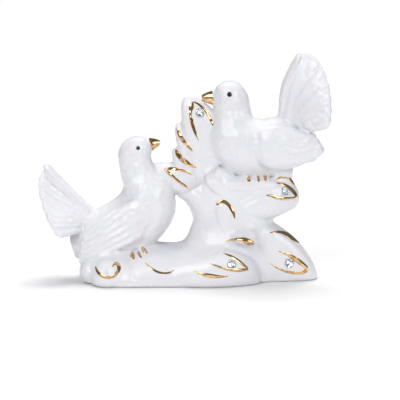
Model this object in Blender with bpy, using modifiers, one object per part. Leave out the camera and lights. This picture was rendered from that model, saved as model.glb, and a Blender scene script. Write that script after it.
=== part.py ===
"""Dove statue: a glazed porcelain figurine of two fantail doves on a scrolled wave of leaves.

One casting carries both doves, the wave, its leaves and the scroll at the left end. Four round
rhinestones sit in shallow pockets on the front of the leaves. Gold lines and the black eyes are
painted, so they are not raised here.

Metres, +Z up. +X runs to the right as the figurine is looked at, +Y away from the viewer.
The origin is the middle of the flat underside. The free forms are given in parts: the figurine
is 150 parts long, so at its real size one part is one millimetre.
"""

from math import copysign, cos, pi, radians, sin, sqrt, tau

import bmesh
import bpy
from mathutils import Matrix, Vector
from mathutils.bvhtree import BVHTree

# Driving dimensions
FIGURINE_LENGTH = 0.150
STONE_DIAMETER = 0.0040
STONE_CROWN = 0.0010
STONE_PAVILION = 0.0011
STONE_TABLE_SHARE = 0.55
STONE_RISE = 0.0003
SEAT_CLEARANCE = 0.0003

# How finely the forms are made
STONE_STEPS = 16
POCKET_SIDES = 24
FUSING_GRAIN = 0.62
CASTING_TRIANGLES = 9000
SOFTENING = 0.5
SOFTENING_PASSES = 2

# Free form, in parts of the figurine's length
PARTS_LONG = 150.0
PART = FIGURINE_LENGTH / PARTS_LONG
SIGHT_FALL = radians(9.0)
TAIL_FEATHERS_A_SIDE = 6
TAIL_SWEEP = radians(73.0)
TAIL_THICKNESS = 3.8
WING_FEATHERS = 6
WING_FEATHER_WIDTH = 5.4
WING_FEATHER_THICKNESS = 3.8
CREST = 1.7
MERGE_DISTANCE = 1e-7
PEBBLE_SIDES = 20
PEBBLE_ROWS = 12
FLOOR_BLOCK = (1.4, 1.0, 0.2)

# Colours and gloss
GLAZE_COLOUR = (0.86, 0.86, 0.88)
GLAZE_ROUGHNESS = 0.16
GLAZE_COAT = 0.6
STONE_COLOUR = (0.9, 0.92, 0.96)
STONE_ROUGHNESS = 0.03
STONE_CLEARNESS = 0.9


def smooth_value(stations, share):
    """The numbers of a station at a share of the way, on a smooth curve through the stations."""
    last = len(stations) - 1
    place = min(max(share, 0.0), 1.0) * last
    first = min(int(place), last - 1)
    part = place - first
    before = stations[max(first - 1, 0)]
    start = stations[first]
    end = stations[first + 1]
    after = stations[min(first + 2, last)]
    values = []
    for a, b, c, d in zip(before, start, end, after):
        bend = (2 * a - 5 * b + 4 * c - d) * part + (3 * b - a - 3 * c + d) * part * part
        values.append(b + 0.5 * part * ((c - a) + bend))
    return values


def wrap(mesh, place, sides, rows):
    """Roll a flat grid into a closed tube: place(share along, angle round) gives each point."""
    grid = bmesh.ops.create_grid(mesh, x_segments=sides, y_segments=rows, size=0.5)
    verts = grid["verts"]
    for vert in verts:
        along = vert.co.y + 0.5
        angle = tau * (vert.co.x + 0.5)
        vert.co = place(along, angle) * PART
    bmesh.ops.remove_doubles(mesh, verts=verts, dist=MERGE_DISTANCE)
    left = [vert for vert in verts if vert.is_valid]
    rims = {edge for vert in left for edge in vert.link_edges if edge.is_boundary}
    bmesh.ops.holes_fill(mesh, edges=list(rims), sides=sides + 1)


def rounded(value, fullness):
    """A circle's sine or cosine, pushed out towards a square as fullness grows past 2."""
    return copysign(abs(value) ** (2.0 / fullness), value)


def loft(mesh, stations, sides=26, rows=40, fullness=2.0, keel=0.0):
    """A body through chords of its side view.

    A station is (x, z, x, z, half thickness, y of its middle): two points of the outline, with
    the thickness across them. keel widens the section towards the second point.
    """
    def place(along, angle):
        x1, z1, x2, z2, half, middle = smooth_value(stations, along)
        centre = Vector(((x1 + x2) / 2, middle, (z1 + z2) / 2))
        chord = Vector(((x2 - x1) / 2, 0.0, (z2 - z1) / 2))
        reach = rounded(cos(angle), fullness)
        side = rounded(sin(angle), fullness) * half * (1 + keel * reach)
        return centre + chord * reach + Vector((0.0, side, 0.0))

    wrap(mesh, place, sides, rows)


def level(stations, middle=0.0):
    """Chord stations whose middles all lie at one depth."""
    return [(*station, middle) for station in stations]


def blade(mesh, path, across, half_width, half_thick, root=0.5, fullness=2.0, sides=12, rows=14):
    """A feather or a leaf: a flat, round-tipped strip along a path, as wide as across says."""
    length = (Vector(path[-1]) - Vector(path[0])).length
    round_from = max(1 - half_width / length, 0.5)
    least = 0.08
    near = 0.02

    def place(along, angle):
        centre = Vector(smooth_value(path, along))
        step = Vector(smooth_value(path, along + near)) - Vector(smooth_value(path, along - near))
        if along <= round_from:
            wide = root + (1 - root) * along / round_from
            thick = 1.0
        else:
            past = (along - round_from) / (1 - round_from)
            wide = thick = max(sqrt(max(1 - past * past, 0.0)), least)
        out = step.cross(across).normalized()
        breadth = across * (rounded(cos(angle), fullness) * half_width * wide)
        return centre + breadth + out * (rounded(sin(angle), fullness) * half_thick * thick)

    wrap(mesh, place, sides, rows)


def pebble(mesh, centre, radii, turn=0.0):
    """An egg-shaped swelling, turned about Y."""
    size = Matrix.Diagonal((*(PART * radius for radius in radii), 1.0))
    spot = Matrix.Translation(Vector(centre) * PART)
    bmesh.ops.create_uvsphere(
        mesh, u_segments=PEBBLE_SIDES, v_segments=PEBBLE_ROWS, radius=1.0,
        matrix=spot @ Matrix.Rotation(turn, 4, "Y") @ size,
    )


def tail_fan(mesh, foot, lean, turn, tall, deep, bow, peak, roundness, overlap, narrowing):
    """A raised fan: the middle feather leans as given and the side ones sweep back from it.

    The feathers start side by side on the rump and their tips lie on a quarter of an ellipse,
    so the fan is a hollow half cone that opens away from the head. bow bends the middle
    feathers towards the head, peak swings the ellipse's long axis away from it, roundness is
    its exponent, overlap is half the middle feather's width as a share of the space between
    two, and narrowing is how much less the last ones have.
    """
    half_spread = 16.0
    half_foot = 4.6
    hinge_back = 2.2
    foot_back = 9.0
    foot_drop = 3.4
    belly = 1.12
    centre = Vector((cos(lean), 0.0, sin(lean)))
    back = Vector((cos(lean + turn * pi / 2), 0.0, sin(lean + turn * pi / 2)))
    hinge = foot + back * hinge_back
    count = TAIL_FEATHERS_A_SIDE
    feet, tips = [], []
    for number in range(-count, count + 1):
        share = abs(number) / count
        swing = TAIL_SWEEP * share
        along_tall = (cos(swing - peak) / tall) ** roundness
        along_deep = (abs(sin(swing - peak)) / deep) ** roundness
        reach = (along_tall + along_deep) ** (-1 / roundness)
        aside = copysign(1 - (1 - share) ** 2, number)
        out = (centre * cos(swing) + back * sin(swing)) * reach
        tips.append(hinge + out + Vector((0.0, half_spread * aside, 0.0)))
        start = foot + back * (foot_back * share) - centre * (foot_drop * share * share)
        feet.append(start + Vector((0.0, half_foot * aside, 0.0)))
    last = len(tips) - 1
    for number, (start, tip) in enumerate(zip(feet, tips)):
        gap = tips[min(number + 1, last)] - tips[max(number - 1, 0)]
        steps = min(number + 1, last) - max(number - 1, 0)
        spacing = gap.length / steps
        share = abs(number - count) / count
        middle = (start + tip) / 2 - back * (bow * (1 - share))
        middle.y *= belly
        half_width = overlap * spacing * (1 - narrowing * share)
        blade(
            mesh, [tuple(start), tuple(middle), tuple(tip)], gap.normalized(),
            half_width=half_width, half_thick=TAIL_THICKNESS / 2, fullness=CREST, sides=16,
        )


def wing_feathers(mesh, roots, tips, out):
    """Long feathers side by side down a wing, from one line of roots to one line of tips."""
    for number in range(WING_FEATHERS):
        share = number / (WING_FEATHERS - 1)
        root = Vector(smooth_value(roots, share))
        tip = Vector(smooth_value(tips, share))
        swell = (root + tip) / 2 + Vector((0.0, -out, 0.0))
        across = (tip - root).cross(Vector((0.0, 1.0, 0.0))).normalized()
        blade(
            mesh, [tuple(root), tuple(swell), tuple(tip)], across,
            half_width=WING_FEATHER_WIDTH / 2, half_thick=WING_FEATHER_THICKNESS / 2,
            root=0.7, fullness=CREST,
        )


def low_dove(mesh, flank):
    """The dove at the left, looking right: body and neck in one sweep, beak, wing and tail."""
    body = [
        (-59.2, 21.6, -55.7, 10.6, 5.4), (-50.6, 33.4, -46.4, 8.8, 9.4),
        (-43.4, 37.2, -35.7, 8.7, 11.4), (-38.3, 40.2, -25.4, 11.0, 12.3),
        (-33.8, 43.4, -14.4, 19.4, 13.4), (-31.4, 47.4, -6.4, 30.0, 13.4),
        (-32.0, 51.5, -4.4, 39.6, 12.8), (-32.9, 55.7, -7.0, 48.2, 10.8),
        (-33.7, 60.4, -13.4, 55.9, 9.0), (-33.8, 64.6, -16.8, 61.9, 7.8),
        (-32.6, 68.8, -16.6, 67.1, 7.4), (-29.3, 72.2, -18.0, 71.6, 6.0),
        (-26.6, 73.6, -21.6, 73.6, 2.8),
    ]
    loft(mesh, level(body), keel=0.08, rows=52)
    beak = [
        (-21.5, 73.2, -19.0, 65.4, 3.1), (-18.0, 72.7, -16.2, 66.6, 2.5),
        (-15.0, 72.3, -14.2, 68.4, 1.7), (-12.5, 71.4, -12.4, 69.8, 0.7),
    ]
    loft(mesh, level(beak), sides=12, rows=10)
    wing = [
        (-16.4, 42.0, -17.4, 35.0, 1.8, -11.0), (-23.6, 43.5, -22.3, 28.0, 3.4, -12.0),
        (-32.1, 39.8, -28.4, 21.4, 3.7, -11.6), (-40.3, 34.6, -35.4, 16.8, 3.4, -10.6),
        (-46.5, 27.9, -42.6, 13.0, 2.9, -9.2), (-50.8, 20.1, -48.4, 10.2, 2.2, -8.0),
        (-54.0, 11.9, -53.2, 8.3, 1.2, -7.2),
    ]
    loft(flank, wing, sides=18, rows=26)
    roots = [(-34.0, -13.0, 37.5), (-27.4, -13.6, 32.0), (-21.6, -13.0, 25.4)]
    tips = [(-50.0, -9.4, 25.0), (-52.8, -9.4, 16.5), (-53.6, -9.2, 9.8)]
    wing_feathers(flank, roots, tips, out=2.6)
    tail_fan(
        mesh, Vector((-47.8, 0.0, 35.2)), radians(131.2), turn=1, tall=34.2, deep=17.3, bow=-0.4,
        peak=radians(-4.0), roundness=2.0, overlap=0.95, narrowing=0.14,
    )


def high_dove(mesh, flank):
    """The dove at the right, looking left, on the branch."""
    body = [
        (65.3, 74.0, 56.2, 58.2, 4.4), (62.4, 78.6, 47.5, 54.0, 8.2),
        (58.3, 81.7, 36.2, 52.2, 11.3), (53.2, 84.0, 24.4, 53.8, 12.8),
        (48.0, 83.9, 16.4, 60.8, 13.1), (43.9, 83.2, 13.1, 68.0, 12.4),
        (39.8, 82.6, 13.0, 74.9, 10.9), (35.2, 83.8, 14.6, 82.5, 9.0),
        (33.6, 88.6, 14.8, 88.6, 7.9), (32.5, 94.0, 15.0, 94.0, 7.6),
        (30.0, 98.9, 16.3, 99.0, 6.4), (26.4, 102.0, 20.4, 102.0, 2.9),
    ]
    loft(mesh, level(body), keel=0.08, rows=52)
    beak = [
        (18.5, 98.6, 20.5, 88.2, 3.3), (14.2, 96.9, 15.4, 89.8, 2.7),
        (11.3, 95.9, 11.6, 91.2, 1.8), (8.9, 94.6, 8.9, 92.2, 0.9),
    ]
    loft(mesh, level(beak), sides=12, rows=10)
    wing = [
        (34.6, 76.5, 35.2, 64.5, 1.8, -10.4), (40.5, 79.5, 40.8, 59.8, 3.6, -11.8),
        (48.2, 80.3, 49.8, 58.4, 3.9, -11.4), (56.2, 79.0, 58.2, 59.6, 3.4, -9.8),
        (63.0, 75.6, 64.0, 62.8, 2.8, -8.0), (68.4, 71.6, 68.6, 65.2, 2.1, -6.6),
        (70.9, 68.7, 70.9, 66.0, 1.2, -6.0),
    ]
    loft(flank, wing, sides=18, rows=26)
    roots = [(50.0, -11.8, 77.0), (46.0, -13.4, 69.5), (43.5, -12.6, 61.5)]
    tips = [(66.0, -8.2, 73.2), (70.2, -7.8, 67.8), (66.6, -8.2, 64.6)]
    wing_feathers(flank, roots, tips, out=2.0)
    tail_fan(
        mesh, Vector((49.6, 0.0, 82.4)), radians(78.0), turn=-1, tall=35.9, deep=21.0, bow=3.0,
        peak=radians(7.0), roundness=1.75, overlap=1.15, narrowing=0.33,
    )


def wave(mesh):
    """The bed that everything stands on, the column beside the opening and the branch."""
    bed = [
        (-53.6, 8.0, -53.6, 2.0, 2.0), (-52.0, 10.0, -52.0, -3.4, 6.5),
        (-48.4, 11.2, -48.4, -8.0, 13.5), (-42.0, 12.4, -42.0, -9.5, 21.5),
        (-32.0, 14.4, -32.0, -11.5, 25.6), (-22.0, 18.0, -22.0, -14.5, 25.6),
        (-12.0, 18.4, -12.0, -15.5, 25.2), (-2.0, 18.4, -2.0, -15.5, 25.2),
        (8.0, 22.0, 8.0, -17.5, 25.0), (18.0, 25.4, 18.0, -20.0, 23.0),
        (27.0, 26.4, 27.0, -20.5, 18.2), (35.0, 29.0, 35.0, -20.5, 14.0),
        (43.0, 30.4, 43.0, -20.5, 11.6), (50.0, 26.6, 50.0, -18.5, 10.6),
        (57.0, 21.0, 57.0, -15.5, 9.6), (62.8, 14.0, 62.8, -10.0, 8.2),
        (66.6, 8.0, 66.6, -6.0, 5.8), (68.5, 3.0, 68.5, -2.0, 2.4),
    ]
    loft(mesh, level(bed), sides=32, rows=60, fullness=2.15)
    column = [
        (-4.6, 14.0, 40.0, 12.0, 18.0), (1.4, 22.6, 42.0, 24.0, 15.5),
        (4.1, 30.5, 44.5, 34.0, 13.0), (2.9, 36.0, 32.0, 43.0, 12.0),
        (0.2, 40.4, 27.0, 51.0, 11.0), (-3.4, 42.8, 21.0, 58.0, 8.5),
    ]
    loft(mesh, level(column), fullness=2.3)
    branch = [
        (13.0, 53.0, 17.0, 34.0, 12.0), (24.0, 53.2, 26.0, 32.0, 12.5),
        (34.0, 53.0, 36.0, 31.6, 12.0), (45.0, 53.2, 45.6, 32.2, 10.4),
        (53.0, 52.8, 51.8, 34.4, 8.4), (57.2, 48.0, 56.4, 36.8, 5.4),
        (58.8, 44.0, 58.7, 39.8, 2.6),
    ]
    loft(mesh, level(branch), fullness=2.3)
    rump_stand = [(46.0, 60.0, 46.0, 48.0, 8.0), (52.0, 60.5, 51.5, 49.0, 7.0),
                  (55.6, 60.0, 55.2, 52.0, 4.0)]
    loft(mesh, level(rump_stand), rows=12)


def plume(mesh):
    """The four tall leaves that fan up to the left out of the column, each behind the last."""
    step_back = 1.5
    first_depth = 1.0
    tallest = [
        (12.0, 38.0, 22.0, 42.0, 8.0), (5.0, 50.0, 20.0, 52.0, 7.2),
        (2.0, 62.0, 18.5, 62.0, 6.4), (-0.6, 74.0, 17.0, 72.0, 5.6),
        (-1.5, 84.0, 16.2, 80.5, 4.6), (-1.5, 90.2, 14.0, 87.8, 3.6),
        (-0.4, 93.6, 7.4, 93.0, 2.2),
    ]
    third = [
        (5.0, 44.0, 13.0, 50.0, 6.6), (-0.6, 58.0, 7.0, 62.0, 5.4),
        (-3.4, 68.0, 4.0, 72.0, 4.4), (-4.7, 75.0, 0.6, 79.0, 3.2),
        (-4.5, 79.2, -2.6, 80.6, 1.6),
    ]
    second = [
        (4.0, 42.0, 12.0, 48.0, 7.0), (-2.0, 51.0, 5.0, 57.0, 5.8),
        (-5.8, 59.5, 1.0, 65.0, 4.6), (-6.4, 63.6, -2.4, 67.8, 3.0),
        (-6.2, 66.2, -4.6, 67.6, 1.6),
    ]
    lowest = [
        (4.0, 40.0, 8.0, 52.0, 8.0), (-3.4, 42.8, -1.0, 58.4, 7.0),
        (-10.0, 46.0, -9.0, 59.4, 6.0), (-15.0, 50.0, -15.0, 59.2, 4.6),
        (-20.0, 54.0, -19.6, 58.4, 2.4),
    ]
    for order, leaf in enumerate((tallest, third, second, lowest)):
        loft(mesh, level(leaf, first_depth + step_back * order), sides=20, rows=26, fullness=2.6)


def front_leaves(flank):
    """The curled leaves, the knob and the scroll that stand out from the wave."""
    tongue = [
        (-16.0, 7.0, -16.0, -3.0, 2.4, -18.6), (-2.0, 11.6, -2.0, -3.0, 4.6, -20.6),
        (11.0, 15.4, 11.0, -3.0, 5.8, -21.6), (21.0, 18.4, 21.0, -3.0, 6.4, -20.0),
        (29.0, 16.8, 29.0, -3.0, 6.0, -17.4), (35.0, 12.4, 35.0, -3.0, 4.8, -15.0),
        (38.2, 5.6, 38.2, -2.6, 2.6, -13.4),
    ]
    loft(flank, tongue, sides=20, rows=28)
    lip = [(26.0, -5.0, 29.5), (28.0, -12.0, 27.0), (28.8, -18.6, 22.4)]
    slope = Vector((0.96, -0.25, -0.12))
    blade(flank, lip, slope, half_width=9.0, half_thick=2.3, root=0.85, sides=20, rows=20)
    pebble(flank, (30.8, -17.6, 23.0), (6.4, 3.6, 2.4), radians(8))
    branch_leaf = [
        (22.0, 40.0, 27.0, 30.5, 3.0, -9.0), (31.0, 45.4, 36.0, 32.2, 4.4, -9.6),
        (41.0, 50.0, 45.4, 33.2, 4.6, -8.6), (50.0, 51.0, 52.2, 35.6, 4.0, -6.4),
        (56.4, 47.0, 57.2, 39.4, 2.8, -3.6), (58.6, 44.0, 58.7, 41.4, 1.6, -1.6),
    ]
    loft(flank, branch_leaf, sides=18, rows=24)
    pebble(flank, (20.4, -9.8, 32.6), (6.0, 5.2, 11.4), radians(-6))
    pebble(flank, (16.6, -8.2, 49.0), (5.4, 5.2, 8.0), radians(-38))
    ridge = [(16.0, -7.4, 57.5), (22.0, -7.4, 54.6), (25.4, -7.4, 50.0), (24.6, -7.4, 43.0)]
    blade(flank, ridge, Vector((0.0, 1.0, 0.0)), half_width=4.0, half_thick=2.2, root=0.9)
    base_leaf = [
        (36.0, 25.0, 36.0, 4.0, 2.6, -7.6), (43.0, 27.6, 43.0, 0.0, 3.4, -8.2),
        (50.0, 24.6, 50.0, -2.0, 3.6, -7.6), (57.0, 19.0, 57.0, -3.0, 3.4, -6.6),
        (62.8, 12.0, 62.8, -3.0, 3.0, -5.2), (66.2, 6.0, 66.2, -3.0, 2.2, -3.4),
    ]
    loft(flank, base_leaf, sides=20, rows=28, fullness=2.8)
    pebble(flank, (-38.2, -17.8, 3.8), (9.0, 8.4, 9.4))
    pebble(flank, (-36.6, -24.2, 7.4), (3.2, 2.6, 3.2))
    pebble(flank, (-45.6, -11.4, 5.6), (8.0, 7.6, 7.4))
    pebble(flank, (-37.0, -11.0, 10.5), (11.0, 6.5, 7.0))
    pebble(flank, (30.0, -8.5, 49.6), (19.0, 5.5, 4.8))
    pebble(flank, (-24.0, -18.0, 3.0), (5.0, 7.6, 8.0), radians(-25))


def toes(flank, ground):
    """Three short toes of each dove, laid where a sight line from the front meets the ground."""
    skin = BVHTree.FromBMesh(ground)
    sight = Vector((0.0, cos(SIGHT_FALL), -sin(SIGHT_FALL)))
    marks = [
        ((-28.0, 13.8), (-26.3, 9.8)), ((-24.2, 14.6), (-22.0, 10.8)),
        ((-22.6, 16.8), (-19.4, 13.2)), ((34.7, 52.8), (34.7, 50.0)),
        ((38.3, 52.8), (38.6, 50.0)), ((42.0, 53.2), (42.2, 50.2)),
    ]
    for heel, tip in marks:
        path = []
        for x, z in (heel, ((heel[0] + tip[0]) / 2, (heel[1] + tip[1]) / 2), tip):
            start = Vector((x, 0.0, z)) * PART - sight * FIGURINE_LENGTH
            spot = skin.ray_cast(start, sight)[0]
            path.append(tuple(spot / PART))
        across = (Vector(path[-1]) - Vector(path[0])).cross(sight).normalized()
        blade(flank, path, across, half_width=0.95, half_thick=1.1, root=0.9, sides=8, rows=8)


def mirrored(mesh):
    """Copy everything in the mesh to the far side of the middle plane."""
    everything = mesh.verts[:] + mesh.edges[:] + mesh.faces[:]
    copy = bmesh.ops.duplicate(mesh, geom=everything)["geom"]
    verts = [item for item in copy if isinstance(item, bmesh.types.BMVert)]
    bmesh.ops.scale(mesh, vec=(1.0, -1.0, 1.0), verts=verts)


def to_object(name, mesh_data, collection):
    """An object in a collection, holding mesh data."""
    made = bpy.data.objects.new(name, mesh_data)
    collection.objects.link(made)
    return made


def settled(thing):
    """The mesh that an object's modifiers make."""
    bpy.context.view_layer.update()
    graph = bpy.context.evaluated_depsgraph_get()
    return bpy.data.meshes.new_from_object(thing.evaluated_get(graph))


def fused(name, forms, collection):
    """One skin over all the forms, softened as a glaze does, with a measured count of faces."""
    raw = bpy.data.meshes.new(name + "_forms")
    forms.to_mesh(raw)
    draft = to_object(name + "_draft", raw, collection)
    skin = draft.modifiers.new("One skin", "REMESH")
    skin.mode = "VOXEL"
    skin.voxel_size = FUSING_GRAIN * PART
    glaze = draft.modifiers.new("Glaze", "SMOOTH")
    glaze.factor = SOFTENING
    glaze.iterations = SOFTENING_PASSES
    skinned = settled(draft)
    bpy.data.objects.remove(draft)
    triangles = sum(len(face.vertices) - 2 for face in skinned.polygons)
    draft = to_object(name + "_fine", skinned, collection)
    fewer = draft.modifiers.new("Fewer faces", "DECIMATE")
    fewer.ratio = CASTING_TRIANGLES / triangles
    lean = settled(draft)
    bpy.data.objects.remove(draft)
    return to_object(name, lean, collection)


def cutter(name, mesh, collection):
    """A cutter object that only the Booleans see."""
    data = bpy.data.meshes.new(name)
    bmesh.ops.recalc_face_normals(mesh, faces=mesh.faces)
    mesh.to_mesh(data)
    mesh.free()
    made = to_object(name, data, collection)
    made.hide_render = True
    made.display_type = "WIRE"
    return made


def cut(thing, tool):
    """Take the cutter out of the thing."""
    step = thing.modifiers.new(tool.name, "BOOLEAN")
    step.operation = "DIFFERENCE"
    step.solver = "EXACT"
    step.object = tool


def stone_seats(casting):
    """Where each rhinestone sits: the girdle's centre and the way its table faces."""
    sight = Vector((0.0, cos(SIGHT_FALL), -sin(SIGHT_FALL)))
    marks = {
        "rhinestone_plume": (8.0, 85.7),
        "rhinestone_branch": (51.6, 45.6),
        "rhinestone_tongue": (23.9, 8.2),
        "rhinestone_base_leaf": (53.7, 8.2),
    }
    skin = BVHTree.FromObject(casting, bpy.context.evaluated_depsgraph_get())
    seats = {}
    for name, (x, z) in marks.items():
        start = Vector((x, 0.0, z)) * PART - sight * FIGURINE_LENGTH
        spot = skin.ray_cast(start, sight)[0]
        near = skin.find_nearest_range(spot, STONE_DIAMETER / 2)
        facing = sum((hit[1] for hit in near), Vector()).normalized()
        seats[name] = (spot + facing * STONE_RISE, facing)
    return seats


def stone(name, seat, collection):
    """A round faceted stone: a turned profile, table up, point down."""
    radius = STONE_DIAMETER / 2
    profile = bpy.data.meshes.new(name)
    points = [
        (0.0, 0.0, STONE_CROWN), (radius * STONE_TABLE_SHARE, 0.0, STONE_CROWN),
        (radius, 0.0, 0.0), (0.0, 0.0, -STONE_PAVILION),
    ]
    profile.from_pydata(points, [(0, 1), (1, 2), (2, 3)], [])
    made = to_object(name, profile, collection)
    turned = made.modifiers.new("Turned", "SCREW")
    turned.axis = "Z"
    turned.steps = STONE_STEPS
    turned.render_steps = STONE_STEPS
    turned.use_merge_vertices = True
    turned.merge_threshold = 0.00001
    made.location = seat[0]
    made.rotation_euler = seat[1].to_track_quat("Z", "Y").to_euler()
    return made


def pocket(name, seat, collection):
    """The round pocket a stone is set in, wider and deeper than it by the seat's clearance."""
    deep = STONE_PAVILION + SEAT_CLEARANCE
    high = STONE_CROWN + SEAT_CLEARANCE
    mesh = bmesh.new()
    turn = seat[1].to_track_quat("Z", "Y").to_matrix().to_4x4()
    middle = Matrix.Translation(seat[0] + seat[1] * (high - deep) / 2)
    radius = STONE_DIAMETER / 2 + SEAT_CLEARANCE
    bmesh.ops.create_cone(
        mesh, cap_ends=True, segments=POCKET_SIDES, radius1=radius, radius2=radius,
        depth=deep + high, matrix=middle @ turn,
    )
    return cutter(name, mesh, collection)


def floor_cutter(collection):
    """A block whose top face is the plane that the figurine stands on."""
    mesh = bmesh.new()
    size = Vector(FLOOR_BLOCK) * FIGURINE_LENGTH
    spot = Matrix.Translation((0.0, 0.0, -size.z / 2)) @ Matrix.Diagonal((*size, 1.0))
    bmesh.ops.create_cube(mesh, size=1.0, matrix=spot)
    return cutter("floor_cutter", mesh, collection)


def finish(thing, colour, roughness, transmission=0.0, coat=0.0):
    """Give an object its own Principled material."""
    material = bpy.data.materials.new(thing.name + "_finish")
    material.use_nodes = True
    shader = material.node_tree.nodes["Principled BSDF"]
    shader.inputs["Base Color"].default_value = (*colour, 1.0)
    shader.inputs["Roughness"].default_value = roughness
    shader.inputs["Metallic"].default_value = 0.0
    shader.inputs["Transmission Weight"].default_value = transmission
    shader.inputs["Coat Weight"].default_value = coat
    thing.data.materials.clear()
    thing.data.materials.append(material)


def poured(target, source):
    """Add one mesh's forms to another."""
    passing = bpy.data.meshes.new("passing")
    source.to_mesh(passing)
    target.from_mesh(passing)
    bpy.data.meshes.remove(passing)


def all_forms():
    """Every form of the casting in one mesh; what stands on the near side is on the far one too."""
    forms = bmesh.new()
    flank = bmesh.new()
    low_dove(forms, flank)
    high_dove(forms, flank)
    wave(forms)
    plume(forms)
    front_leaves(flank)
    ground = bmesh.new()
    poured(ground, forms)
    poured(ground, flank)
    toes(flank, ground)
    ground.free()
    mirrored(flank)
    poured(forms, flank)
    flank.free()
    bmesh.ops.recalc_face_normals(forms, faces=forms.faces)
    return forms


def main():
    """Clear the scene and model the figurine and its stones."""
    for thing in list(bpy.data.objects):
        bpy.data.objects.remove(thing, do_unlink=True)
    pieces = bpy.data.collections.new("dove_statue")
    cutters = bpy.data.collections.new("cutters")
    bpy.context.scene.collection.children.link(pieces)
    bpy.context.scene.collection.children.link(cutters)

    forms = all_forms()
    casting = fused("porcelain_doves", forms, pieces)
    forms.free()
    cut(casting, floor_cutter(cutters))
    seats = stone_seats(casting)
    for name, seat in seats.items():
        finish(stone(name, seat, pieces), STONE_COLOUR, STONE_ROUGHNESS, transmission=STONE_CLEARNESS)
        cut(casting, pocket(name + "_pocket", seat, cutters))
    finish(casting, GLAZE_COLOUR, GLAZE_ROUGHNESS, coat=GLAZE_COAT)
    casting.data.shade_smooth()


main()
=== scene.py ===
"""Looks of the dove statue: a glazed porcelain casting with gold lines and four set stones.

The casting is modelled again at a fine grain over the same forms as the solids. Gold lines, gilt
beaks and toes and enamel eyes lie on the glaze, and faceted stones sit in foil cups. Forms are
given in parts of the figurine's length, and one part is one millimetre. Painted lines are given
where they show on the middle plane, seen from the camera, and are laid on the glaze from there.
"""

import logging  # noqa: E402
from dataclasses import dataclass, field  # noqa: E402
from enum import Enum  # noqa: E402
from math import copysign, cos, hypot, pi, radians, sin, sqrt, tau  # noqa: E402
from typing import Callable, Sequence  # noqa: E402

import bmesh  # noqa: E402
import bpy  # noqa: E402
import numpy as np  # noqa: E402
from mathutils import Matrix, Vector, noise  # noqa: E402
from mathutils.bvhtree import BVHTree  # noqa: E402


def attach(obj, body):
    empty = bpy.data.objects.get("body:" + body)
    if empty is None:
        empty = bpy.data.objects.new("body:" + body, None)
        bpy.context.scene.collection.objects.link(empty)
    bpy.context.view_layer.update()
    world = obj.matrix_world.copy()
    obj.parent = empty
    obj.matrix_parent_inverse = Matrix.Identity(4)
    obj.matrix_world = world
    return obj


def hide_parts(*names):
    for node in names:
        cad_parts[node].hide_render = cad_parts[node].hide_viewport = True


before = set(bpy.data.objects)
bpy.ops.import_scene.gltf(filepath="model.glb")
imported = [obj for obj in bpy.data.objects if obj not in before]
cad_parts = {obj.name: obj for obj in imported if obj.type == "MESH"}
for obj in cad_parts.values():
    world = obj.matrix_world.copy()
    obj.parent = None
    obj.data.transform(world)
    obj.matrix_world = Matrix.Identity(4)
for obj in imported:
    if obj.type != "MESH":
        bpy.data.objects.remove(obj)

log = logging.getLogger("dove_statue")

PART = 0.001
SIGHT_FALL = radians(9.0)
CAMERA_DISTANCE = 900.0
CAMERA_AIM = Vector((8.0, 0.0, 40.9))
EYE = CAMERA_AIM + CAMERA_DISTANCE * Vector((0.0, -cos(SIGHT_FALL), sin(SIGHT_FALL)))
CREST = 1.7
MERGE_DISTANCE = 1e-7

Row = tuple[float, ...]


class Slot(Enum):
    """The record's material slots."""

    PORCELAIN = "white_porcelain"
    CRYSTAL = "crystal"
    GOLD = "gold_lustre"
    ENAMEL = "black_enamel"


# ---- curves and modelling -------------------------------------------------------------------


def place_in_scene(name: str, data: bpy.types.ID) -> bpy.types.Object:
    """Make an object of some data and put it in the scene.

    Args:
        name: the object's name.
        data: its mesh, light or camera.

    Returns:
        The object.
    """
    made = bpy.data.objects.new(name, data)
    bpy.context.scene.collection.objects.link(made)
    return made


def applied(piece: bpy.types.Object) -> bpy.types.Mesh:
    """Make the mesh that an object's modifiers give.

    Args:
        piece: the object, left as it is.

    Returns:
        The new mesh.
    """
    bpy.context.view_layer.update()
    graph = bpy.context.evaluated_depsgraph_get()
    return bpy.data.meshes.new_from_object(piece.evaluated_get(graph))


def slice_off(mesh: bmesh.types.BMesh, point: Row, normal: Row, dist: float, outer: bool) -> None:
    """Cut a mesh through, drop one side and close the cut.

    Args:
        mesh: the mesh.
        point: a point on the cut.
        normal: the way the cut faces.
        dist: how near to the cut a point counts as on it.
        outer: whether the side that the normal points to is dropped, or else the other one.
    """
    everything = mesh.verts[:] + mesh.edges[:] + mesh.faces[:]
    bmesh.ops.bisect_plane(
        mesh, geom=everything, dist=dist, plane_co=point, plane_no=normal,
        clear_outer=outer, clear_inner=not outer,
    )
    rims = [edge for edge in mesh.edges if edge.is_boundary]
    if rims:
        bmesh.ops.holes_fill(mesh, edges=rims, sides=0)


def ramp(values: np.ndarray, start: float, end: float) -> np.ndarray:
    """Rise from 0 at the start to 1 at the end, whichever of them is higher."""
    return np.clip((values - start) / (end - start), 0, 1)


def smooth_value(stations: Sequence[Row], share: float) -> list[float]:
    """Read a station part of the way along a smooth curve.

    Args:
        stations: rows of numbers that the curve passes through.
        share: how far along, from 0 to 1.

    Returns:
        The numbers of the row at that share.
    """
    last = len(stations) - 1
    place = min(max(share, 0.0), 1.0) * last
    first = min(int(place), last - 1)
    part = place - first
    before = stations[max(first - 1, 0)]
    start = stations[first]
    end = stations[first + 1]
    after = stations[min(first + 2, last)]
    values = []
    for a, b, c, d in zip(before, start, end, after):
        bend = (2 * a - 5 * b + 4 * c - d) * part + (3 * b - a - 3 * c + d) * part * part
        values.append(b + 0.5 * part * ((c - a) + bend))
    return values


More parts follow.
